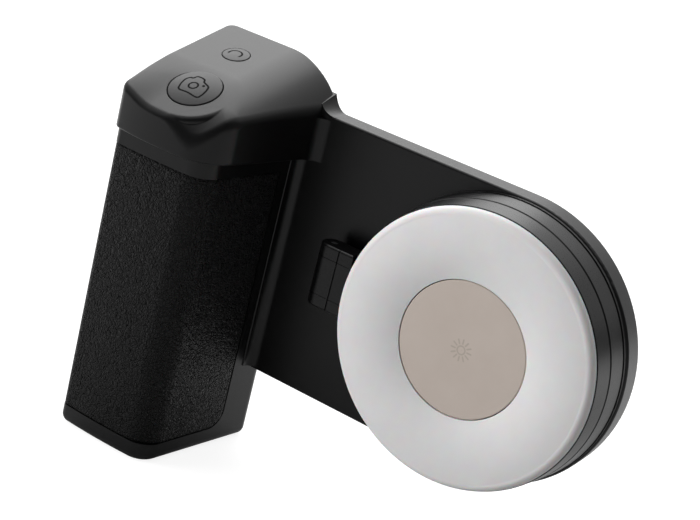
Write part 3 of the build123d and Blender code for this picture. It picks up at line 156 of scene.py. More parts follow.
def grid_faces(rows, columns, wrap=False):
    """Quads over a grid of rows and columns; wrap joins the last column to the first."""
    faces = []
    last = columns if wrap else columns - 1
    for i in range(rows - 1):
        for j in range(last):
            k = (j + 1) % columns
            faces.append((i * columns + j, i * columns + k, (i + 1) * columns + k, (i + 1) * columns + j))
    return faces


def set_ink(obj, values, name="ink"):
    """Stores one number per vertex, which the material reads as a mask."""
    layer = obj.data.attributes.new(name, "FLOAT", "POINT")
    layer.data.foreach_set("value", np.asarray(values, np.float32))


def cut_with(obj, cutter):
    """Cuts the cutter out of obj and removes the cutter."""
    modifier = obj.modifiers.new("cut", "BOOLEAN")
    modifier.operation = "DIFFERENCE"
    modifier.solver = "EXACT"
    modifier.object = cutter
    bpy.context.view_layer.update()
    evaluated = obj.evaluated_get(bpy.context.evaluated_depsgraph_get())
    mesh = bpy.data.meshes.new_from_object(evaluated)
    obj.modifiers.clear()
    obj.data = mesh
    bpy.data.objects.remove(cutter)


# Materials


def new_material(name, color, roughness, metallic=0.0):
    """Principled material, with its node tree, its shader and an object-space coordinate socket."""
    material = bpy.data.materials.new(name)
    material.use_nodes = True
    tree = material.node_tree
    shader = tree.nodes["Principled BSDF"]
    shader.inputs["Base Color"].default_value = (*color, 1)
    shader.inputs["Roughness"].default_value = roughness
    shader.inputs["Metallic"].default_value = metallic
    coordinates = tree.nodes.new("ShaderNodeTexCoord").outputs["Object"]
    return material, tree, shader, coordinates


def noise(tree, coordinates, per_mm, detail):
    """Noise with a number of waves per millimetre."""
    node = tree.nodes.new("ShaderNodeTexNoise")
    node.inputs["Scale"].default_value = per_mm / MM
    node.inputs["Detail"].default_value = detail
    node.inputs["Roughness"].default_value = 0.6
    tree.links.new(coordinates, node.inputs["Vector"])
    return node.outputs["Fac"]


def ramp(tree, value, low, high, from_low=0.3, from_high=0.7, smooth=False):
    """Maps a value from one range to another, in a straight line or with eased ends."""
    node = tree.nodes.new("ShaderNodeMapRange")
    if smooth:
        node.interpolation_type = "SMOOTHSTEP"
    node.inputs["From Min"].default_value = from_low
    node.inputs["From Max"].default_value = from_high
    node.inputs["To Min"].default_value = low
    node.inputs["To Max"].default_value = high
    tree.links.new(value, node.inputs["Value"])
    return node.outputs["Result"]


def mix_color(tree, factor, first, second):
    """Blend of two colours by a socket's value."""
    node = tree.nodes.new("ShaderNodeMix")
    node.data_type = "RGBA"
    node.inputs[6].default_value = (*first, 1)
    node.inputs[7].default_value = (*second, 1)
    tree.links.new(factor, node.inputs[0])
    return node.outputs[2]


def add_bump(tree, shader, height, distance_mm, below=None):
    """Bump of a depth on the shader, over the bump below it."""
    node = tree.nodes.new("ShaderNodeBump")
    node.inputs["Strength"].default_value = 1.0
    node.inputs["Distance"].default_value = distance_mm * MM
    tree.links.new(height, node.inputs["Height"])
    if below is not None:
        tree.links.new(below, node.inputs["Normal"])
    tree.links.new(node.outputs["Normal"], shader.inputs["Normal"])
    return node.outputs["Normal"]


tone_waves_per_mm = 0.12
plastic_gloss_range = (-0.04, 0.05)
metal_gloss_range = (-0.05, 0.06)
metal_deep_share = 0.9


def gloss(tree, value, roughness, spread):
    """Roughness that wavers over a range round its middle value."""
    return ramp(tree, value, roughness + spread[0], roughness + spread[1])


def plastic(name, dark, light, roughness, grain_mm=0.12, grain_depth=0.01):
    """Moulded plastic with a fine grain and a faint unevenness of tone and gloss."""
    material, tree, shader, coordinates = new_material(name, dark, roughness)
    tone = noise(tree, coordinates, tone_waves_per_mm, detail=3)
    tree.links.new(mix_color(tree, ramp(tree, tone, 0, 1), dark, light), shader.inputs["Base Color"])
    grain = noise(tree, coordinates, 1 / grain_mm, detail=2)
    tree.links.new(gloss(tree, grain, roughness, plastic_gloss_range), shader.inputs["Roughness"])
    add_bump(tree, shader, grain, grain_depth)
    return material


def metal(name, color, roughness, grain_mm=0.05, grain_depth=0.004):
    """Blasted or plated metal with a fine grain."""
    material, tree, shader, coordinates = new_material(name, color, roughness, 1.0)
    grain = noise(tree, coordinates, 1 / grain_mm, detail=3)
    tree.links.new(gloss(tree, grain, roughness, metal_gloss_range), shader.inputs["Roughness"])
    deep = tuple(metal_deep_share * c for c in color)
    tree.links.new(mix_color(tree, ramp(tree, grain, 0, 1), deep, color), shader.inputs["Base Color"])
    add_bump(tree, shader, grain, grain_depth)
    return material


leather_warp_size = 2.0
leather_warp_reach = 0.9
pebble_size = 0.7
pebble_depth = 0.27
fold_size = 1.7
fold_depth = 0.3
fine_waves_per_mm = 6.0
fine_depth = 0.015
pebble_edge_share = 0.22
fold_edge_share = 0.08
# Painted shade: the colour that the creases between the pebbles are darkened to.
crease_shade_black = (0.0004, 0.0004, 0.0004)
pebble_black = (0.0042, 0.0042, 0.0044)


def cell_edges(tree, coordinates, size_mm, edge):
    """Cells of a size: 0 at their edges and 1 inside, over a share of a cell."""
    cells = tree.nodes.new("ShaderNodeTexVoronoi")
    cells.feature = "DISTANCE_TO_EDGE"
    cells.inputs["Scale"].default_value = 1 / (size_mm * MM)
    tree.links.new(coordinates, cells.inputs["Vector"])
    return ramp(tree, cells.outputs["Distance"], 0, 1, 0.0, edge)


def leather():
    """Black leather-look skin: pebbles between fine creases, with longer folds through them; the creases are
    darkened with painted shade.
    """
    material, tree, shader, coordinates = new_material("leather", pebble_black, 0.5)
    warp = tree.nodes.new("ShaderNodeTexNoise")
    warp.inputs["Scale"].default_value = 1 / (leather_warp_size * MM)
    warp.inputs["Detail"].default_value = 3
    tree.links.new(coordinates, warp.inputs["Vector"])
    bend = tree.nodes.new("ShaderNodeVectorMath")
    bend.operation = "MULTIPLY_ADD"
    bend.inputs[1].default_value = (leather_warp_reach * MM,) * 3
    tree.links.new(warp.outputs["Color"], bend.inputs[0])
    tree.links.new(coordinates, bend.inputs[2])
    pebbles = cell_edges(tree, bend.outputs["Vector"], pebble_size, pebble_edge_share)
    creases = cell_edges(tree, bend.outputs["Vector"], fold_size, fold_edge_share)
    fine = noise(tree, coordinates, fine_waves_per_mm, detail=3)
    # Painted shade: the creases between the pebbles take a much darker colour than the pebbles themselves.
    tone = mix_color(tree, pebbles, crease_shade_black, pebble_black)
    tree.links.new(tone, shader.inputs["Base Color"])
    shader.inputs["Specular IOR Level"].default_value = 0.35
    tree.links.new(ramp(tree, fine, 0.36, 0.5), shader.inputs["Roughness"])
    first = add_bump(tree, shader, pebbles, pebble_depth)
    second = add_bump(tree, shader, creases, fold_depth, below=first)
    add_bump(tree, shader, fine, fine_depth, below=second)
    return material


def inked(name, dark, light, roughness, ink, ink_roughness):
    """Plastic with a mark in it, where the mesh's ink mask is 1."""
    material = plastic(name, dark, light, roughness, grain_mm=0.08, grain_depth=0.006)
    tree = material.node_tree
    shader = tree.nodes["Principled BSDF"]
    mask = tree.nodes.new("ShaderNodeAttribute")
    mask.attribute_name = "ink"
    old = shader.inputs["Base Color"].links[0].from_socket
    mixed = tree.nodes.new("ShaderNodeMix")
    mixed.data_type = "RGBA"
    mixed.inputs[7].default_value = (*ink, 1)
    tree.links.new(mask.outputs["Fac"], mixed.inputs[0])
    tree.links.new(old, mixed.inputs[6])
    tree.links.new(mixed.outputs[2], shader.inputs["Base Color"])
    rough = tree.nodes.new("ShaderNodeMix")
    rough.inputs[3].default_value = ink_roughness
    tree.links.new(mask.outputs["Fac"], rough.inputs[0])
    tree.links.new(shader.inputs["Roughness"].links[0].from_socket, rough.inputs[2])
    tree.links.new(rough.outputs[0], shader.inputs["Roughness"])
    return material


housing = plastic("housing_black", (0.0022, 0.0022, 0.0024), (0.003, 0.003, 0.0033), 0.33)
cover_plastic = plastic("cover_black", (0.004, 0.004, 0.0043), (0.006, 0.006, 0.0063), 0.5, grain_depth=0.02)
light_plastic = plastic(
    "light_black", (0.0025, 0.0025, 0.0027), (0.0035, 0.0035, 0.0038), 0.3, grain_depth=0.006
)
leather_skin = leather()
button_plastic = inked(
    "button_black", (0.008, 0.008, 0.0085), (0.01, 0.01, 0.0105), 0.36, ink=(0.0, 0.0, 0.0), ink_roughness=1.0
)
rubber = plastic("pad_grey", (0.02, 0.02, 0.021), (0.03, 0.03, 0.031), 0.8, grain_mm=0.06, grain_depth=0.02)
steel = metal("steel", (0.55, 0.55, 0.56), 0.32)
magnet_plate = metal("magnet", (0.62, 0.62, 0.64), 0.2)
socket_steel = metal("socket_steel", (0.6, 0.6, 0.62), 0.28)
copper = metal("copper", (0.72, 0.36, 0.18), 0.35)
ferrite = plastic("ferrite", (0.03, 0.028, 0.028), (0.05, 0.048, 0.048), 0.7)
board = plastic("board", (0.01, 0.1, 0.045), (0.014, 0.13, 0.06), 0.3)
chip = plastic("chip", (0.012, 0.012, 0.012), (0.02, 0.02, 0.02), 0.5)
lamp = plastic("lamp", (0.75, 0.6, 0.2), (0.85, 0.7, 0.28), 0.35)
cell_wrap = plastic("cell", (0.02, 0.08, 0.22), (0.03, 0.1, 0.26), 0.3)
cradle = plastic("cradle", (0.05, 0.05, 0.052), (0.07, 0.07, 0.072), 0.55)
diffuser_white = plastic("diffuser_white", (0.8, 0.785, 0.79), (0.83, 0.815, 0.82), 0.42, grain_depth=0.002)
diffuser_shader = diffuser_white.node_tree.nodes["Principled BSDF"]
diffuser_shader.inputs["Subsurface Weight"].default_value = 0.35
diffuser_shader.inputs["Subsurface Scale"].default_value = 1.5 * MM
champagne = inked(
    "champagne", (0.63, 0.545, 0.485), (0.66, 0.575, 0.515), 0.42, ink=(0.52, 0.45, 0.39), ink_roughness=0.5
)
champagne.node_tree.nodes["Principled BSDF"].inputs["Metallic"].default_value = 0.2

finishes = {
    "housing_black": housing,
    "cover_black": cover_plastic,
    "light_black": light_plastic,
    "leather": leather_skin,
    "button_black": button_plastic,
    "pad_grey": rubber,
    "diffuser_white": diffuser_white,
    "champagne": champagne,
    "steel": steel,
    "magnet": magnet_plate,
    "socket_steel": socket_steel,
    "copper": copper,
    "ferrite": ferrite,
    "board": board,
    "chip": chip,
    "lamp": lamp,
    "cell": cell_wrap,
    "cradle": cradle,
}
slot_of = {part["node"]: part["material_slot"] for part in frame["record"]["subparts"]}


def finish_of(node):
    """Material of a node's slot."""
    return finishes[slot_of[node]]


for name, obj in nodes.items():
    obj.data.materials.clear()
    obj.data.materials.append(finish_of(name))


def stands_for(obj, node, body):
    """Gives a new piece the node's finish, hides the node and rides the piece on its body."""
    obj.data.materials.clear()
    obj.data.materials.append(finish_of(node))
    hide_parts(node)
    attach(obj, body)
    return obj


# Top cap, from a smooth field that is negative inside the cap


def round_and(a, b, radius):
    """Overlap of two fields, with a rounded outer edge."""
    u = np.maximum(radius + a, 0)
    v = np.maximum(radius + b, 0)
    return np.minimum(-radius, np.maximum(a, b)) + np.hypot(u, v)


def round_or(a, b, radius):
    """Union of two fields, with a filleted inner edge."""
    u = np.maximum(radius - a, 0)
    v = np.maximum(radius - b, 0)
    return np.maximum(radius, np.minimum(a, b)) - np.hypot(u, v)


def bowed_front(x, y, right_at_front, depth, bow):
    """Distance in front of a front wall that bows out in its middle."""
    middle = (grip_left + right_at_front) / 2
    half = (right_at_front - grip_left) / 2
    return -depth - bow * (1 - ((x - middle) / half) ** 2) - y


def plan_field(x, y, right_at_back, right_at_front, depth, bow, right_radius):
    """Distance outside the handle's or the cap's outline, seen from above."""
    run = math.hypot(right_at_front - right_at_back, depth)
    right = ((x - right_at_back) * depth + y * (right_at_front - right_at_back)) / run
    front = bowed_front(x, y, right_at_front, depth, bow)
    field = round_and(front, right, right_radius)
    field = round_and(field, grip_left - x, grip_front_left_radius)
    return round_and(field, y, back_radius)


slope_gradient = math.tan(cap_slope)
bend_y = -cap_front + lobe_bend_setback
bend_point = np.array((lobe_x, bend_y, cap_top_at_back + slope_gradient * bend_y))
lobe_normal = np.array((0.0, -math.sin(lobe_tilt), math.cos(lobe_tilt)))
lobe_up = np.array((0.0, math.cos(lobe_tilt), math.sin(lobe_tilt)))
lobe_centre = bend_point - lobe_drop * lobe_up
lobe_radius = (cap_front + cap_bow - lobe_inset + lobe_centre[1]) / math.cos(lobe_tilt)
pairing_normal = np.array((0.0, -math.sin(cap_slope), math.cos(cap_slope)))
pairing_centre = np.array((pairing_x, pairing_y, cap_top_at_back + slope_gradient * pairing_y))


# Places over which the cap's rounds change, from where they start to where they end
left_corner_in_x = (-70.0, -79.0)
left_corner_in_y = (-20.0, -34.0)
lobe_fillet_below = (-0.8, -3.0)
edge_growth_in_y = (-24.0, -31.0)
edge_growth_in_x = (-60.0, -54.0)


def cap_field(p):
    """The slab under the top and the lobe's plane, rolled over to the front, inside the walls."""
    x, y, z = p[..., 0], p[..., 1], p[..., 2]
    walls = plan_field(
        x, y, cap_right_at_back, cap_right_at_front, cap_front, cap_bow, cap_right_corner_radius
    )
    flat = z - slope_gradient * y - cap_top_at_back
    shoulder = np.hypot(x - cap_shoulder_start, flat + cap_shoulder_radius) - cap_shoulder_radius
    top = np.where(x < cap_shoulder_start, flat, shoulder) * math.cos(cap_slope)
    lobe_plane = (p - bend_point) @ lobe_normal
    left_corner = smoothstep(*left_corner_in_x, x) * smoothstep(*left_corner_in_y, y)
    slab = round_and(top, lobe_plane - cap_left_corner_drop * left_corner, cap_bend_radius)
    roll = cap_rim_radius + (cap_roll_radius - cap_rim_radius) * smoothstep(cap_roll_start, cap_roll_end, x)
    body = round_and(slab, -(cap_front + cap_bow + cap_front_margin) - y, roll)
    offset = p - lobe_centre
    height = offset @ lobe_normal
    across = np.sqrt(np.maximum((offset**2).sum(-1) - height**2, 0))
    cone = (across - lobe_radius + height * lobe_flare) * math.cos(math.atan(lobe_flare))
    lobe = round_and(cone, slab, lobe_rim_radius)
    fillet = lobe_least_fillet + lobe_fillet * smoothstep(*lobe_fillet_below, slab)
    body = round_or(body, lobe, fillet)
    growth = smoothstep(*edge_growth_in_y, y) + smoothstep(*edge_growth_in_x, x)
    body = round_and(body, walls, cap_edge_radius + cap_edge_growth * growth)
    return round_and(body, collar_bottom - z, cap_low_edge_radius)


halvings = 34


def first_exit(field, origin, directions, reach):
    """Distance along each direction from a point inside to where the field turns positive."""
    low = np.zeros(directions.shape[:-1])
    high = np.full(directions.shape[:-1], reach)
    for _ in range(halvings):
        middle = (low + high) / 2
        inside = field(origin + directions * middle[..., None]) < 0
        low = np.where(inside, middle, low)
        high = np.where(inside, high, middle)
    return (low + high) / 2


bend_weight = 0.9


def star_mesh(name, field, origin, columns, rows, reach, samples=700):
    """Closed mesh of a field's zero surface, all of it in sight of the origin, finer where it bends."""
    origin = np.asarray(origin, float)
    turn = np.linspace(0, 2 * math.pi, 4 * columns, endpoint=False)
    flat = np.stack([np.cos(turn), np.sin(turn), np.zeros_like(turn)], -1)
    rim = origin + flat * first_exit(field, origin, flat, reach)[:, None]
    steps = np.linalg.norm(np.roll(rim, -1, 0) - rim, axis=1)
    length = np.concatenate([[0], np.cumsum(steps)])
    places = np.linspace(0, length[-1], columns, endpoint=False)
    turn = np.interp(places, length, np.append(turn, 2 * math.pi))
    rise = np.linspace(-math.pi / 2, math.pi / 2, samples)
    directions = np.stack(
        [
            np.cos(turn)[:, None] * np.cos(rise)[None],
            np.sin(turn)[:, None] * np.cos(rise)[None],
            np.broadcast_to(np.sin(rise), (columns, samples)),
        ],
        -1,
    )
    surface = origin + directions * first_exit(field, origin, directions, reach)[..., None]
    steps = np.linalg.norm(np.diff(surface, axis=1), axis=-1)
    bend = np.zeros_like(steps)
    tangent = np.diff(surface, axis=1) / np.maximum(steps, 1e-9)[..., None]
    bend[:, 1:] = np.linalg.norm(np.diff(tangent, axis=1), axis=-1)
    weight = steps + bend_weight * bend
    weight = (weight.mean(0, keepdims=True) + weight) / 2
    total = np.concatenate([np.zeros((columns, 1)), np.cumsum(weight, 1)], 1)
    aims = []
    for j in range(columns):
        at = np.interp(np.linspace(0, total[j, -1], rows + 2)[1:-1], total[j], rise)
        aims.append(np.stack([np.cos(turn[j]) * np.cos(at), np.sin(turn[j]) * np.cos(at), np.sin(at)], -1))
    aims = np.stack(aims, 1)
    points = origin + aims * first_exit(field, origin, aims, reach)[..., None]
    poles = np.array([(0, 0, -1.0), (0, 0, 1.0)])
    ends = origin + poles * first_exit(field, origin, poles, reach)[:, None]
    faces = grid_faces(rows, columns, wrap=True)
    count = rows * columns
    for j in range(columns):
        k = (j + 1) % columns
        faces.append((count, k, j))
        faces.append((count + 1, count - columns + j, count - columns + k))
    return mesh_object(name, np.concatenate([points.reshape(-1, 3), ends]), faces)


def cylinder_cutter(centre, normal, radius, depth, above=3.0):
    """Cylinder along a button's axis, to cut its hole."""
    bm = bmesh.new()
    size = radius * MM
    bmesh.ops.create_cone(
        bm, cap_ends=True, segments=192, radius1=size, radius2=size, depth=(depth + above) * MM
    )
    mesh = bpy.data.meshes.new("cutter")
    bm.to_mesh(mesh)
    bm.free()
    cutter = bpy.data.objects.new("cutter", mesh)
    bpy.context.scene.collection.objects.link(cutter)
    normal = Vector(normal)
    place = Vector(centre) * MM + normal * ((above - depth) / 2 * MM)
    cutter.matrix_world = Matrix.Translation(place) @ normal.to_track_quat("Z", "Y").to_matrix().to_4x4()
    return cutter


cap_middle = (-65.5, -13.0, 24.0)
cap = star_mesh("cap_shell", cap_field, cap_middle, columns=560, rows=230, reach=45.0)
shutter_hole = cylinder_cutter(
    lobe_centre, lobe_normal, shutter_radius + shutter_clearance, shutter_hole_depth
)
cut_with(cap, shutter_hole)
pairing_hole = cylinder_cutter(
    pairing_centre, pairing_normal, pairing_radius + pairing_clearance, pairing_hole_depth
)
cut_with(cap, pairing_hole)
cap.data.shade_smooth()

# Buttons, each a domed disc with a mark let into it


def segment_distance(points, outline):
    """Distance from points on a plane to the nearest stretch of an outline."""
    best = np.full(len(points), 1e9)
    for a, b in zip(outline[:-1], outline[1:]):
        a, b = np.array(a), np.array(b)
        t = np.clip(((points - a) @ (b - a)) / max((b - a) @ (b - a), 1e-9), 0, 1)
        best = np.minimum(best, np.hypot(*(points - a - t[:, None] * (b - a)).T))
    return best


corner_share = 0.2


def smooth_closed(outline, rounds):
    """Closed outline with its corners cut again and again into curves."""
    points = [np.array(p, float) for p in outline]
    for _ in range(rounds):
        finer = []
        for a, b in zip(points, points[1:] + points[:1]):
            finer.append((1 - corner_share) * a + corner_share * b)
            finer.append(corner_share * a + (1 - corner_share) * b)
        points = finer
    return points + points[:1]


def button_mesh(name, centre, normal, up, radius, crown, wall, mark, rings=110, around=260):
    """Domed disc with a rounded edge and a wall; mark gives the ink at points on its plane."""
    sphere = (radius**2 + crown**2) / (2 * crown)
    edge = button_round
    profile = []
    for i in range(1, rings + 1):
        r = (radius - edge) * i / rings
        profile.append((r, button_edge + crown - sphere + math.sqrt(sphere**2 - r**2)))
    last = profile[-1][1]
    for turn in np.linspace(0, math.pi / 2, 9)[1:]:
        profile.append((radius - edge + edge * math.sin(turn), last - edge + edge * math.cos(turn)))
    profile.append((radius, -wall))
    across = np.cross(up, normal)
    turns = np.linspace(0, 2 * math.pi, around, endpoint=False)
    flat = [np.stack([r * np.cos(turns), r * np.sin(turns)], -1) for r, h in profile]
    plane = np.concatenate(flat + [np.zeros((2, 2))])
    heights = np.concatenate(
        [np.full(around, h) for r, h in profile] + [np.array([button_edge + crown, -wall])]
    )
    vertices = centre + plane[:, :1] * across + plane[:, 1:] * up + heights[:, None] * normal
    faces = [tuple(reversed(face)) for face in grid_faces(len(profile), around, wrap=True)]
    middle = len(profile) * around
    for j in range(around):
        k = (j + 1) % around
        faces.append((middle, k, j))
        faces.append((middle + 1, middle - around + j, middle - around + k))
    obj = mesh_object(name, vertices, faces)
    set_ink(obj, np.where(heights > 0, mark(plane), 0.0))
    return obj


camera_outline = [
    (-2.5, -2.45), (-3.1, -0.4), (-3.2, 1.0), (-2.7, 1.9), (-1.95, 1.85), (-1.65, 2.9),
    (-0.6, 2.95), (0.35, 2.75), (0.75, 1.95), (1.3, 1.75), (2.5, 1.3), (2.85, 0.2),
    (2.95, -1.2), (2.75, -2.4), (2.0, -2.6), (0.0, -2.3),
]
lens_place = np.array((-0.35, -0.05))
lens_radius = 0.95
lamp_place = np.array((1.5, 0.9))
lamp_radius = 0.12
arc_place = np.array((-0.2, -0.1))
arc_radius = 1.45
arc_opening = (-0.9, -0.4)
line_width = 0.2
sun_rays = 12
sun_radius = 0.85
sun_ray_start = 1.35
sun_ray_end = 2.2


def line_ink(distance, core=0.6, fade=1.3):
    """Ink at a distance from a mark's line, full in its core and gone past its edge."""
    return 1 - smoothstep(line_width * core, line_width * fade, distance)


def camera_mark(points):
    """Outline of a generic camera with its lens and a dot."""
    line = segment_distance(points, smooth_closed(camera_outline, rounds=2))
    lens = np.abs(np.hypot(*(points - lens_place).T) - lens_radius)
    dot = np.hypot(*(points - lamp_place).T) - lamp_radius
    return line_ink(np.minimum(np.minimum(line, lens), dot))


def ring_mark(points):
    """Arc round the middle of the pairing button, open towards its low side."""
    ring = np.abs(np.hypot(*(points - arc_place).T) - arc_radius)
    opening = smoothstep(*arc_opening, points[:, 1])
    return opening * line_ink(ring)


def sun_mark(points):
    """Small ring with rays round it, for the light's press button."""
    radius = np.hypot(*points.T)
    step = 2 * math.pi / sun_rays
    turn = np.arctan2(points[:, 1], points[:, 0])
    off_ray = turn - np.round(turn / step) * step
    along = radius * np.cos(off_ray)
    past_ends = np.maximum(np.maximum(sun_ray_start - along, along - sun_ray_end), 0)
    ray = np.hypot(past_ends, radius * np.sin(off_ray))
    return line_ink(np.minimum(ray, np.abs(radius - sun_radius)), core=0.5, fade=1.1)


pairing_up = np.array((0.0, math.cos(cap_slope), math.sin(cap_slope)))
shutter_cap = button_mesh(
    "shutter_dome", lobe_centre, lobe_normal, lobe_up, shutter_radius, shutter_crown, button_wall, camera_mark
)
stands_for(shutter_cap, "shutter_button", "shutter_button")
pairing_cap = button_mesh(
    "pairing_disc", pairing_centre, pairing_normal, pairing_up, pairing_radius, pairing_crown, button_wall,
    ring_mark
)
stands_for(pairing_cap, "pairing_button", "pairing_button")
press_centre = np.array((0.0, button_edge - light_button_front, 0.0))
press_normal = np.array((0.0, -1.0, 0.0))
press_up = np.array((0.0, 0.0, 1.0))
press_disc = button_mesh(
    "press_disc", press_centre, press_normal, press_up, light_button_radius, press_crown, press_wall,
    sun_mark, rings=200
)
stands_for(press_disc, "light_button", "light_button")

# Foot of the cap on the plate, with its fillet against the wall and its flare up to the shoulder


def swept_outline(outline, low, high):
    """Closed wall from an outline of points at two levels, with both ends filled."""
    count = len(outline)
    vertices = [low(p) for p in outline] + [high(p) for p in outline]
    faces = [(i, (i + 1) % count, count + (i + 1) % count, count + i) for i in range(count)]
    faces.append(tuple(range(count))[::-1])
    faces.append(tuple(range(count, 2 * count)))
    return vertices, faces


def quarter(start, corner, end, steps=16):
    """Points of a round that leaves start towards corner and arrives at end."""
    points = []
    for i in range(steps + 1):
        t = i / steps
        points.append(
            tuple((1 - t) ** 2 * a + 2 * t * (1 - t) * c + t * t * b for a, c, b in zip(start, corner, end))
        )
    return points


flare = quarter(
    (foot_right + flare_lip, foot_top),
    (foot_right - flare_corner, foot_top),
    (flare_end, foot_top + flare_rise),
)
foot_outline = [
    (foot_left, collar_bottom),
    (foot_right, collar_bottom),
    (foot_right, foot_top),
    *flare,
    (foot_left, foot_top + flare_rise),
]
vertices, faces = swept_outline(
    foot_outline,
    lambda p: (p[0], -foot_thickness, min(p[1], foot_top + flare_front_share * (p[1] - foot_top))),
    lambda p: (p[0], -back_inset, p[1]),
)
foot = mesh_object("cap_foot", vertices, faces, smooth=False)
strip_back = -foot_thickness + strip_overlap
strip = quarter((foot_right, -foot_thickness), strip_corner, strip_end)
strip_outline = [(foot_left, strip_back), (foot_right, strip_back), *strip, (foot_left, strip_end[1])]
vertices, faces = swept_outline(
    strip_outline, lambda p: (p[0], p[1], collar_bottom), lambda p: (p[0], p[1], foot_top - strip_headroom)
)
strip_piece = mesh_object("cap_strip", vertices, faces, smooth=False)
ledge_low = collar_bottom - ledge_height
ledge_high = collar_bottom + ledge_overlap
ledge_outline = [
    (ledge_left, ledge_low),
    (foot_right, ledge_low),
    (foot_right, ledge_high),
    (ledge_left, ledge_high),
]
vertices, faces = swept_outline(
    ledge_outline, lambda p: (p[0], -ledge_thickness, p[1]), lambda p: (p[0], -back_inset, p[1])
)
ledge = mesh_object("foot_ledge", vertices, faces, smooth=False)
for piece in (foot, strip_piece, ledge):
    piece.data.materials.append(housing)
    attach(piece, "root")
stands_for(cap, "top_cap", "root")

# Leather wrap: a skin with softly rounded borders, which follows the handle's outline


def handle_field(p):
    """Distance outside the handle's outline, seen from above."""
    x, y = p[..., 0], p[..., 1]
    return plan_field(
        x, y, grip_right_at_back, grip_right_at_front, grip_depth, grip_bow, grip_front_right_radius
    )


handle_middle = (-66.0, -14.0)
handle_reach = 40.0


def handle_path(count):
    """Points along the handle's outline from its back left edge round the front to its back right edge."""
    origin = np.array(handle_middle)
    turn = np.linspace(math.radians(150), math.radians(390), 6 * count)
    aims = np.stack([np.cos(turn), np.sin(turn)], -1)
    rim = origin + aims * first_exit(handle_field, origin, aims, handle_reach)[:, None]
    steps = np.linalg.norm(np.diff(rim, axis=0), axis=1)
    length = np.concatenate([[0], np.cumsum(steps)])
    keep = rim[:, 1] < -leather_back_edge
    first = np.argmax(keep)
    last = len(keep) - 1 - np.argmax(keep[::-1])
    at = np.linspace(length[first], length[last], count)
    path = np.stack([np.interp(at, length, rim[:, 0]), np.interp(at, length, rim[:, 1])], -1)
    return path, at - at[0]


def leather_mesh(columns, rows):
    """Skin along the handle's outline, sunk at its border, with round lower corners."""
    path, along = handle_path(columns)
    tangent = np.gradient(path, axis=0)
    tangent /= np.linalg.norm(tangent, axis=1)[:, None]
    normal = np.stack([tangent[:, 1], -tangent[:, 0]], -1)
    border = np.minimum(along, along[-1] - along)
    levels = np.linspace(0, 1, rows)
    height = leather_top - leather_bottom
    gap = leather_gap
    vertices = []
    for t in levels:
        z = leather_bottom + gap + t * (height - 2 * gap)
        # The two lower corners are round: columns near an end stop higher up.
        reach = np.clip(leather_corner - border, 0, leather_corner)
        lift = leather_corner - np.sqrt(np.maximum(leather_corner**2 - reach**2, 0))
        column_z = np.maximum(z, leather_bottom + gap + lift * (1 - t))
        edge = np.minimum(np.minimum(column_z - leather_bottom - lift, leather_top - z), border + 0.02)
        inward = 1 - np.clip(edge / leather_border_width, 0, 1)
        sink = leather_border_sink * (1 - np.sqrt(np.clip(1 - inward**2, 0, 1)))
        outer = path - normal * sink[:, None]
        vertices.append(np.stack([outer[:, 0], outer[:, 1], column_z], -1))
    outer = np.concatenate(vertices)
    inner = outer.copy()
    inner[:, :2] -= np.tile(normal, (rows, 1)) * leather_skin_depth
    count = rows * columns
    faces = grid_faces(rows, columns)
    faces += [tuple(count + k for k in reversed(face)) for face in faces]
    ring = list(range(columns))
    ring += [i * columns + columns - 1 for i in range(1, rows)]
    ring += [(rows - 1) * columns + j for j in range(columns - 2, -1, -1)]
    ring += [i * columns for i in range(rows - 2, 0, -1)]
    for a, b in zip(ring, ring[1:] + ring[:1]):
        faces.append((b, a, count + a, count + b))
    return mesh_object("leather_skin", np.concatenate([outer, inner]), faces)


skin = leather_mesh(columns=420, rows=320)
stands_for(skin, "leather_wrap", "root")

# Floor, backdrop and light
floor_size = 3.0
floor_grey = 0.42
floor_glow = 0.86
away = (-0.47, 0.88, 0.0)


def math_node(tree, operation, first, second):
    """Result of a math node on two sockets."""
    node = tree.nodes.new("ShaderNodeMath")
    node.operation = operation
    tree.links.new(first, node.inputs[0])
    tree.links.new(second, node.inputs[1])
    return node.outputs["Value"]


def along(tree, vector, aim):
    """How far a vector goes along aim."""
    node = tree.nodes.new("ShaderNodeVectorMath")
    node.operation = "DOT_PRODUCT"
    node.inputs[1].default_value = aim
    tree.links.new(vector, node.inputs[0])
    return node.outputs["Value"]


def white_share(tree, behind):
    """1 for rays that see the white background: camera rays, and gloss and glass where it is behind."""
    rays = tree.nodes.new("ShaderNodeLightPath").outputs
    mirrored = math_node(tree, "MAXIMUM", rays["Is Glossy Ray"], rays["Is Transmission Ray"])
    return math_node(tree, "MAXIMUM", math_node(tree, "MULTIPLY", mirrored, behind), rays["Is Camera Ray"])


def white_floor():
    """Floor that takes a shadow and is white to the eye, and to reflections behind the object."""
    bpy.ops.mesh.primitive_plane_add(size=floor_size, location=(0, 0, grip_bottom * MM))
    floor = bpy.context.object
    floor.name = "floor"
    material = bpy.data.materials.new("floor")
    material.use_nodes = True
    tree = material.node_tree
    tree.nodes.clear()
    diffuse = tree.nodes.new("ShaderNodeBsdfDiffuse")
    diffuse.inputs["Color"].default_value = (floor_grey, floor_grey, floor_grey, 1)
    glow = tree.nodes.new("ShaderNodeEmission")
    glow.inputs["Strength"].default_value = floor_glow
    place = tree.nodes.new("ShaderNodeTexCoord").outputs["Object"]
    far_side = ramp(tree, along(tree, place, away), 0, 1, 0.0, 0.08)
    seen = tree.nodes.new("ShaderNodeMixShader")
    tree.links.new(white_share(tree, far_side), seen.inputs[0])
    tree.links.new(glow.outputs[0], seen.inputs[2])
    both = tree.nodes.new("ShaderNodeAddShader")
    tree.links.new(diffuse.outputs[0], both.inputs[0])
    tree.links.new(seen.outputs[0], both.inputs[1])
    output = tree.nodes.new("ShaderNodeOutputMaterial")
    tree.links.new(both.outputs[0], output.inputs["Surface"])
    floor.data.materials.append(material)
    return floor


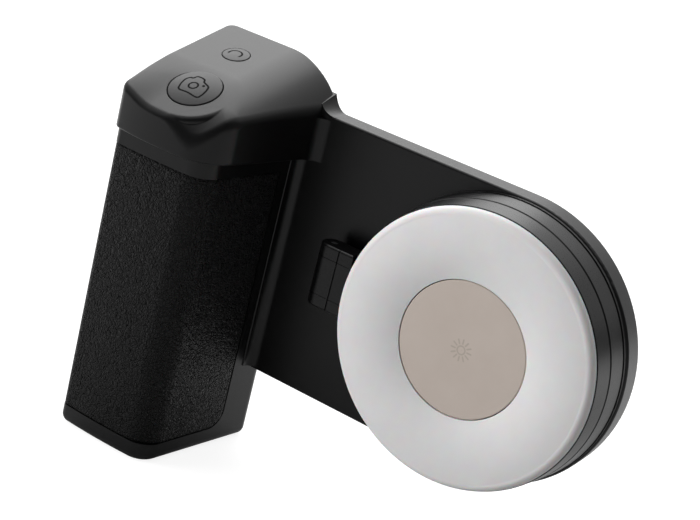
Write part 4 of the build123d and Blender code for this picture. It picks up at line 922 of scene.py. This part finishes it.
def studio_world():
    """A large soft light overhead and behind, which fades into a dim room, and the white backdrop."""
    world = bpy.data.worlds.new("studio")
    world.use_nodes = True
    tree = world.node_tree
    tree.nodes.clear()
    direction = tree.nodes.new("ShaderNodeTexCoord").outputs["Generated"]
    overhead = along(tree, direction, Vector((-0.443, 0.5, 0.744)).normalized())
    wide = ramp(tree, overhead, 0.1, 0.75, 0.15, 0.36, smooth=True)
    middle = ramp(tree, overhead, 0.0, 0.8, 0.55, 0.92, smooth=True)
    core = ramp(tree, overhead, 0.0, 0.35, 0.88, 1.0, smooth=True)
    room = tree.nodes.new("ShaderNodeBackground")
    strength = math_node(tree, "ADD", math_node(tree, "ADD", wide, middle), core)
    tree.links.new(strength, room.inputs["Strength"])
    backdrop = tree.nodes.new("ShaderNodeBackground")
    backdrop.inputs["Color"].default_value = (1, 1, 1, 1)
    behind = ramp(tree, along(tree, direction, Vector(away).normalized()), 0.0, 1.0, 0.72, 0.92, smooth=True)
    choice = tree.nodes.new("ShaderNodeMixShader")
    tree.links.new(white_share(tree, behind), choice.inputs[0])
    tree.links.new(room.outputs[0], choice.inputs[1])
    tree.links.new(backdrop.outputs[0], choice.inputs[2])
    output = tree.nodes.new("ShaderNodeOutputWorld")
    tree.links.new(choice.outputs[0], output.inputs["Surface"])
    return world


def area_light(name, place, target, size, power):
    """Square lamp at a place, in metres, turned to a target."""
    data = bpy.data.lights.new(name, "AREA")
    data.shape = "RECTANGLE"
    data.size = size
    data.size_y = size
    data.energy = power
    obj = bpy.data.objects.new(name, data)
    bpy.context.scene.collection.objects.link(obj)
    obj.location = place
    obj.rotation_euler = (Vector(target) - Vector(place)).to_track_quat("-Z", "Y").to_euler()
    return obj


floor = white_floor()
bpy.context.scene.world = studio_world()
middle_of_part = (-0.025, -0.01, 0.0)
area_light("top_soft", (-0.42, 0.42, 0.62), middle_of_part, size=0.75, power=3.0)
side = area_light("side_soft", (-0.85, -0.7, 0.16), middle_of_part, size=0.5, power=10.0)
side.visible_glossy = False

# Camera at the photograph's angle, fitted to the object's circles and edges
camera_place = Vector((119.3, -291.2, 123.0)) * MM
camera_forward = Vector((-0.443, 0.8267, -0.3468)).normalized()
camera_up = Vector((-0.3775, 0.1788, 0.9086))
focal_pixels = 1677.9
photo_width = 700
camera_data = bpy.data.cameras.new("camera")
camera_data.sensor_width = 36.0
camera_data.lens = focal_pixels / photo_width * camera_data.sensor_width
camera_data.clip_start = 0.01
camera = bpy.data.objects.new("camera", camera_data)
bpy.context.scene.collection.objects.link(camera)
right = camera_forward.cross(camera_up).normalized()
up = right.cross(camera_forward)
turn = Matrix((right, up, -camera_forward)).transposed().to_4x4()
camera.matrix_world = Matrix.Translation(camera_place) @ turn
bpy.context.scene.camera = camera
bpy.context.scene.view_settings.view_transform = "Standard"
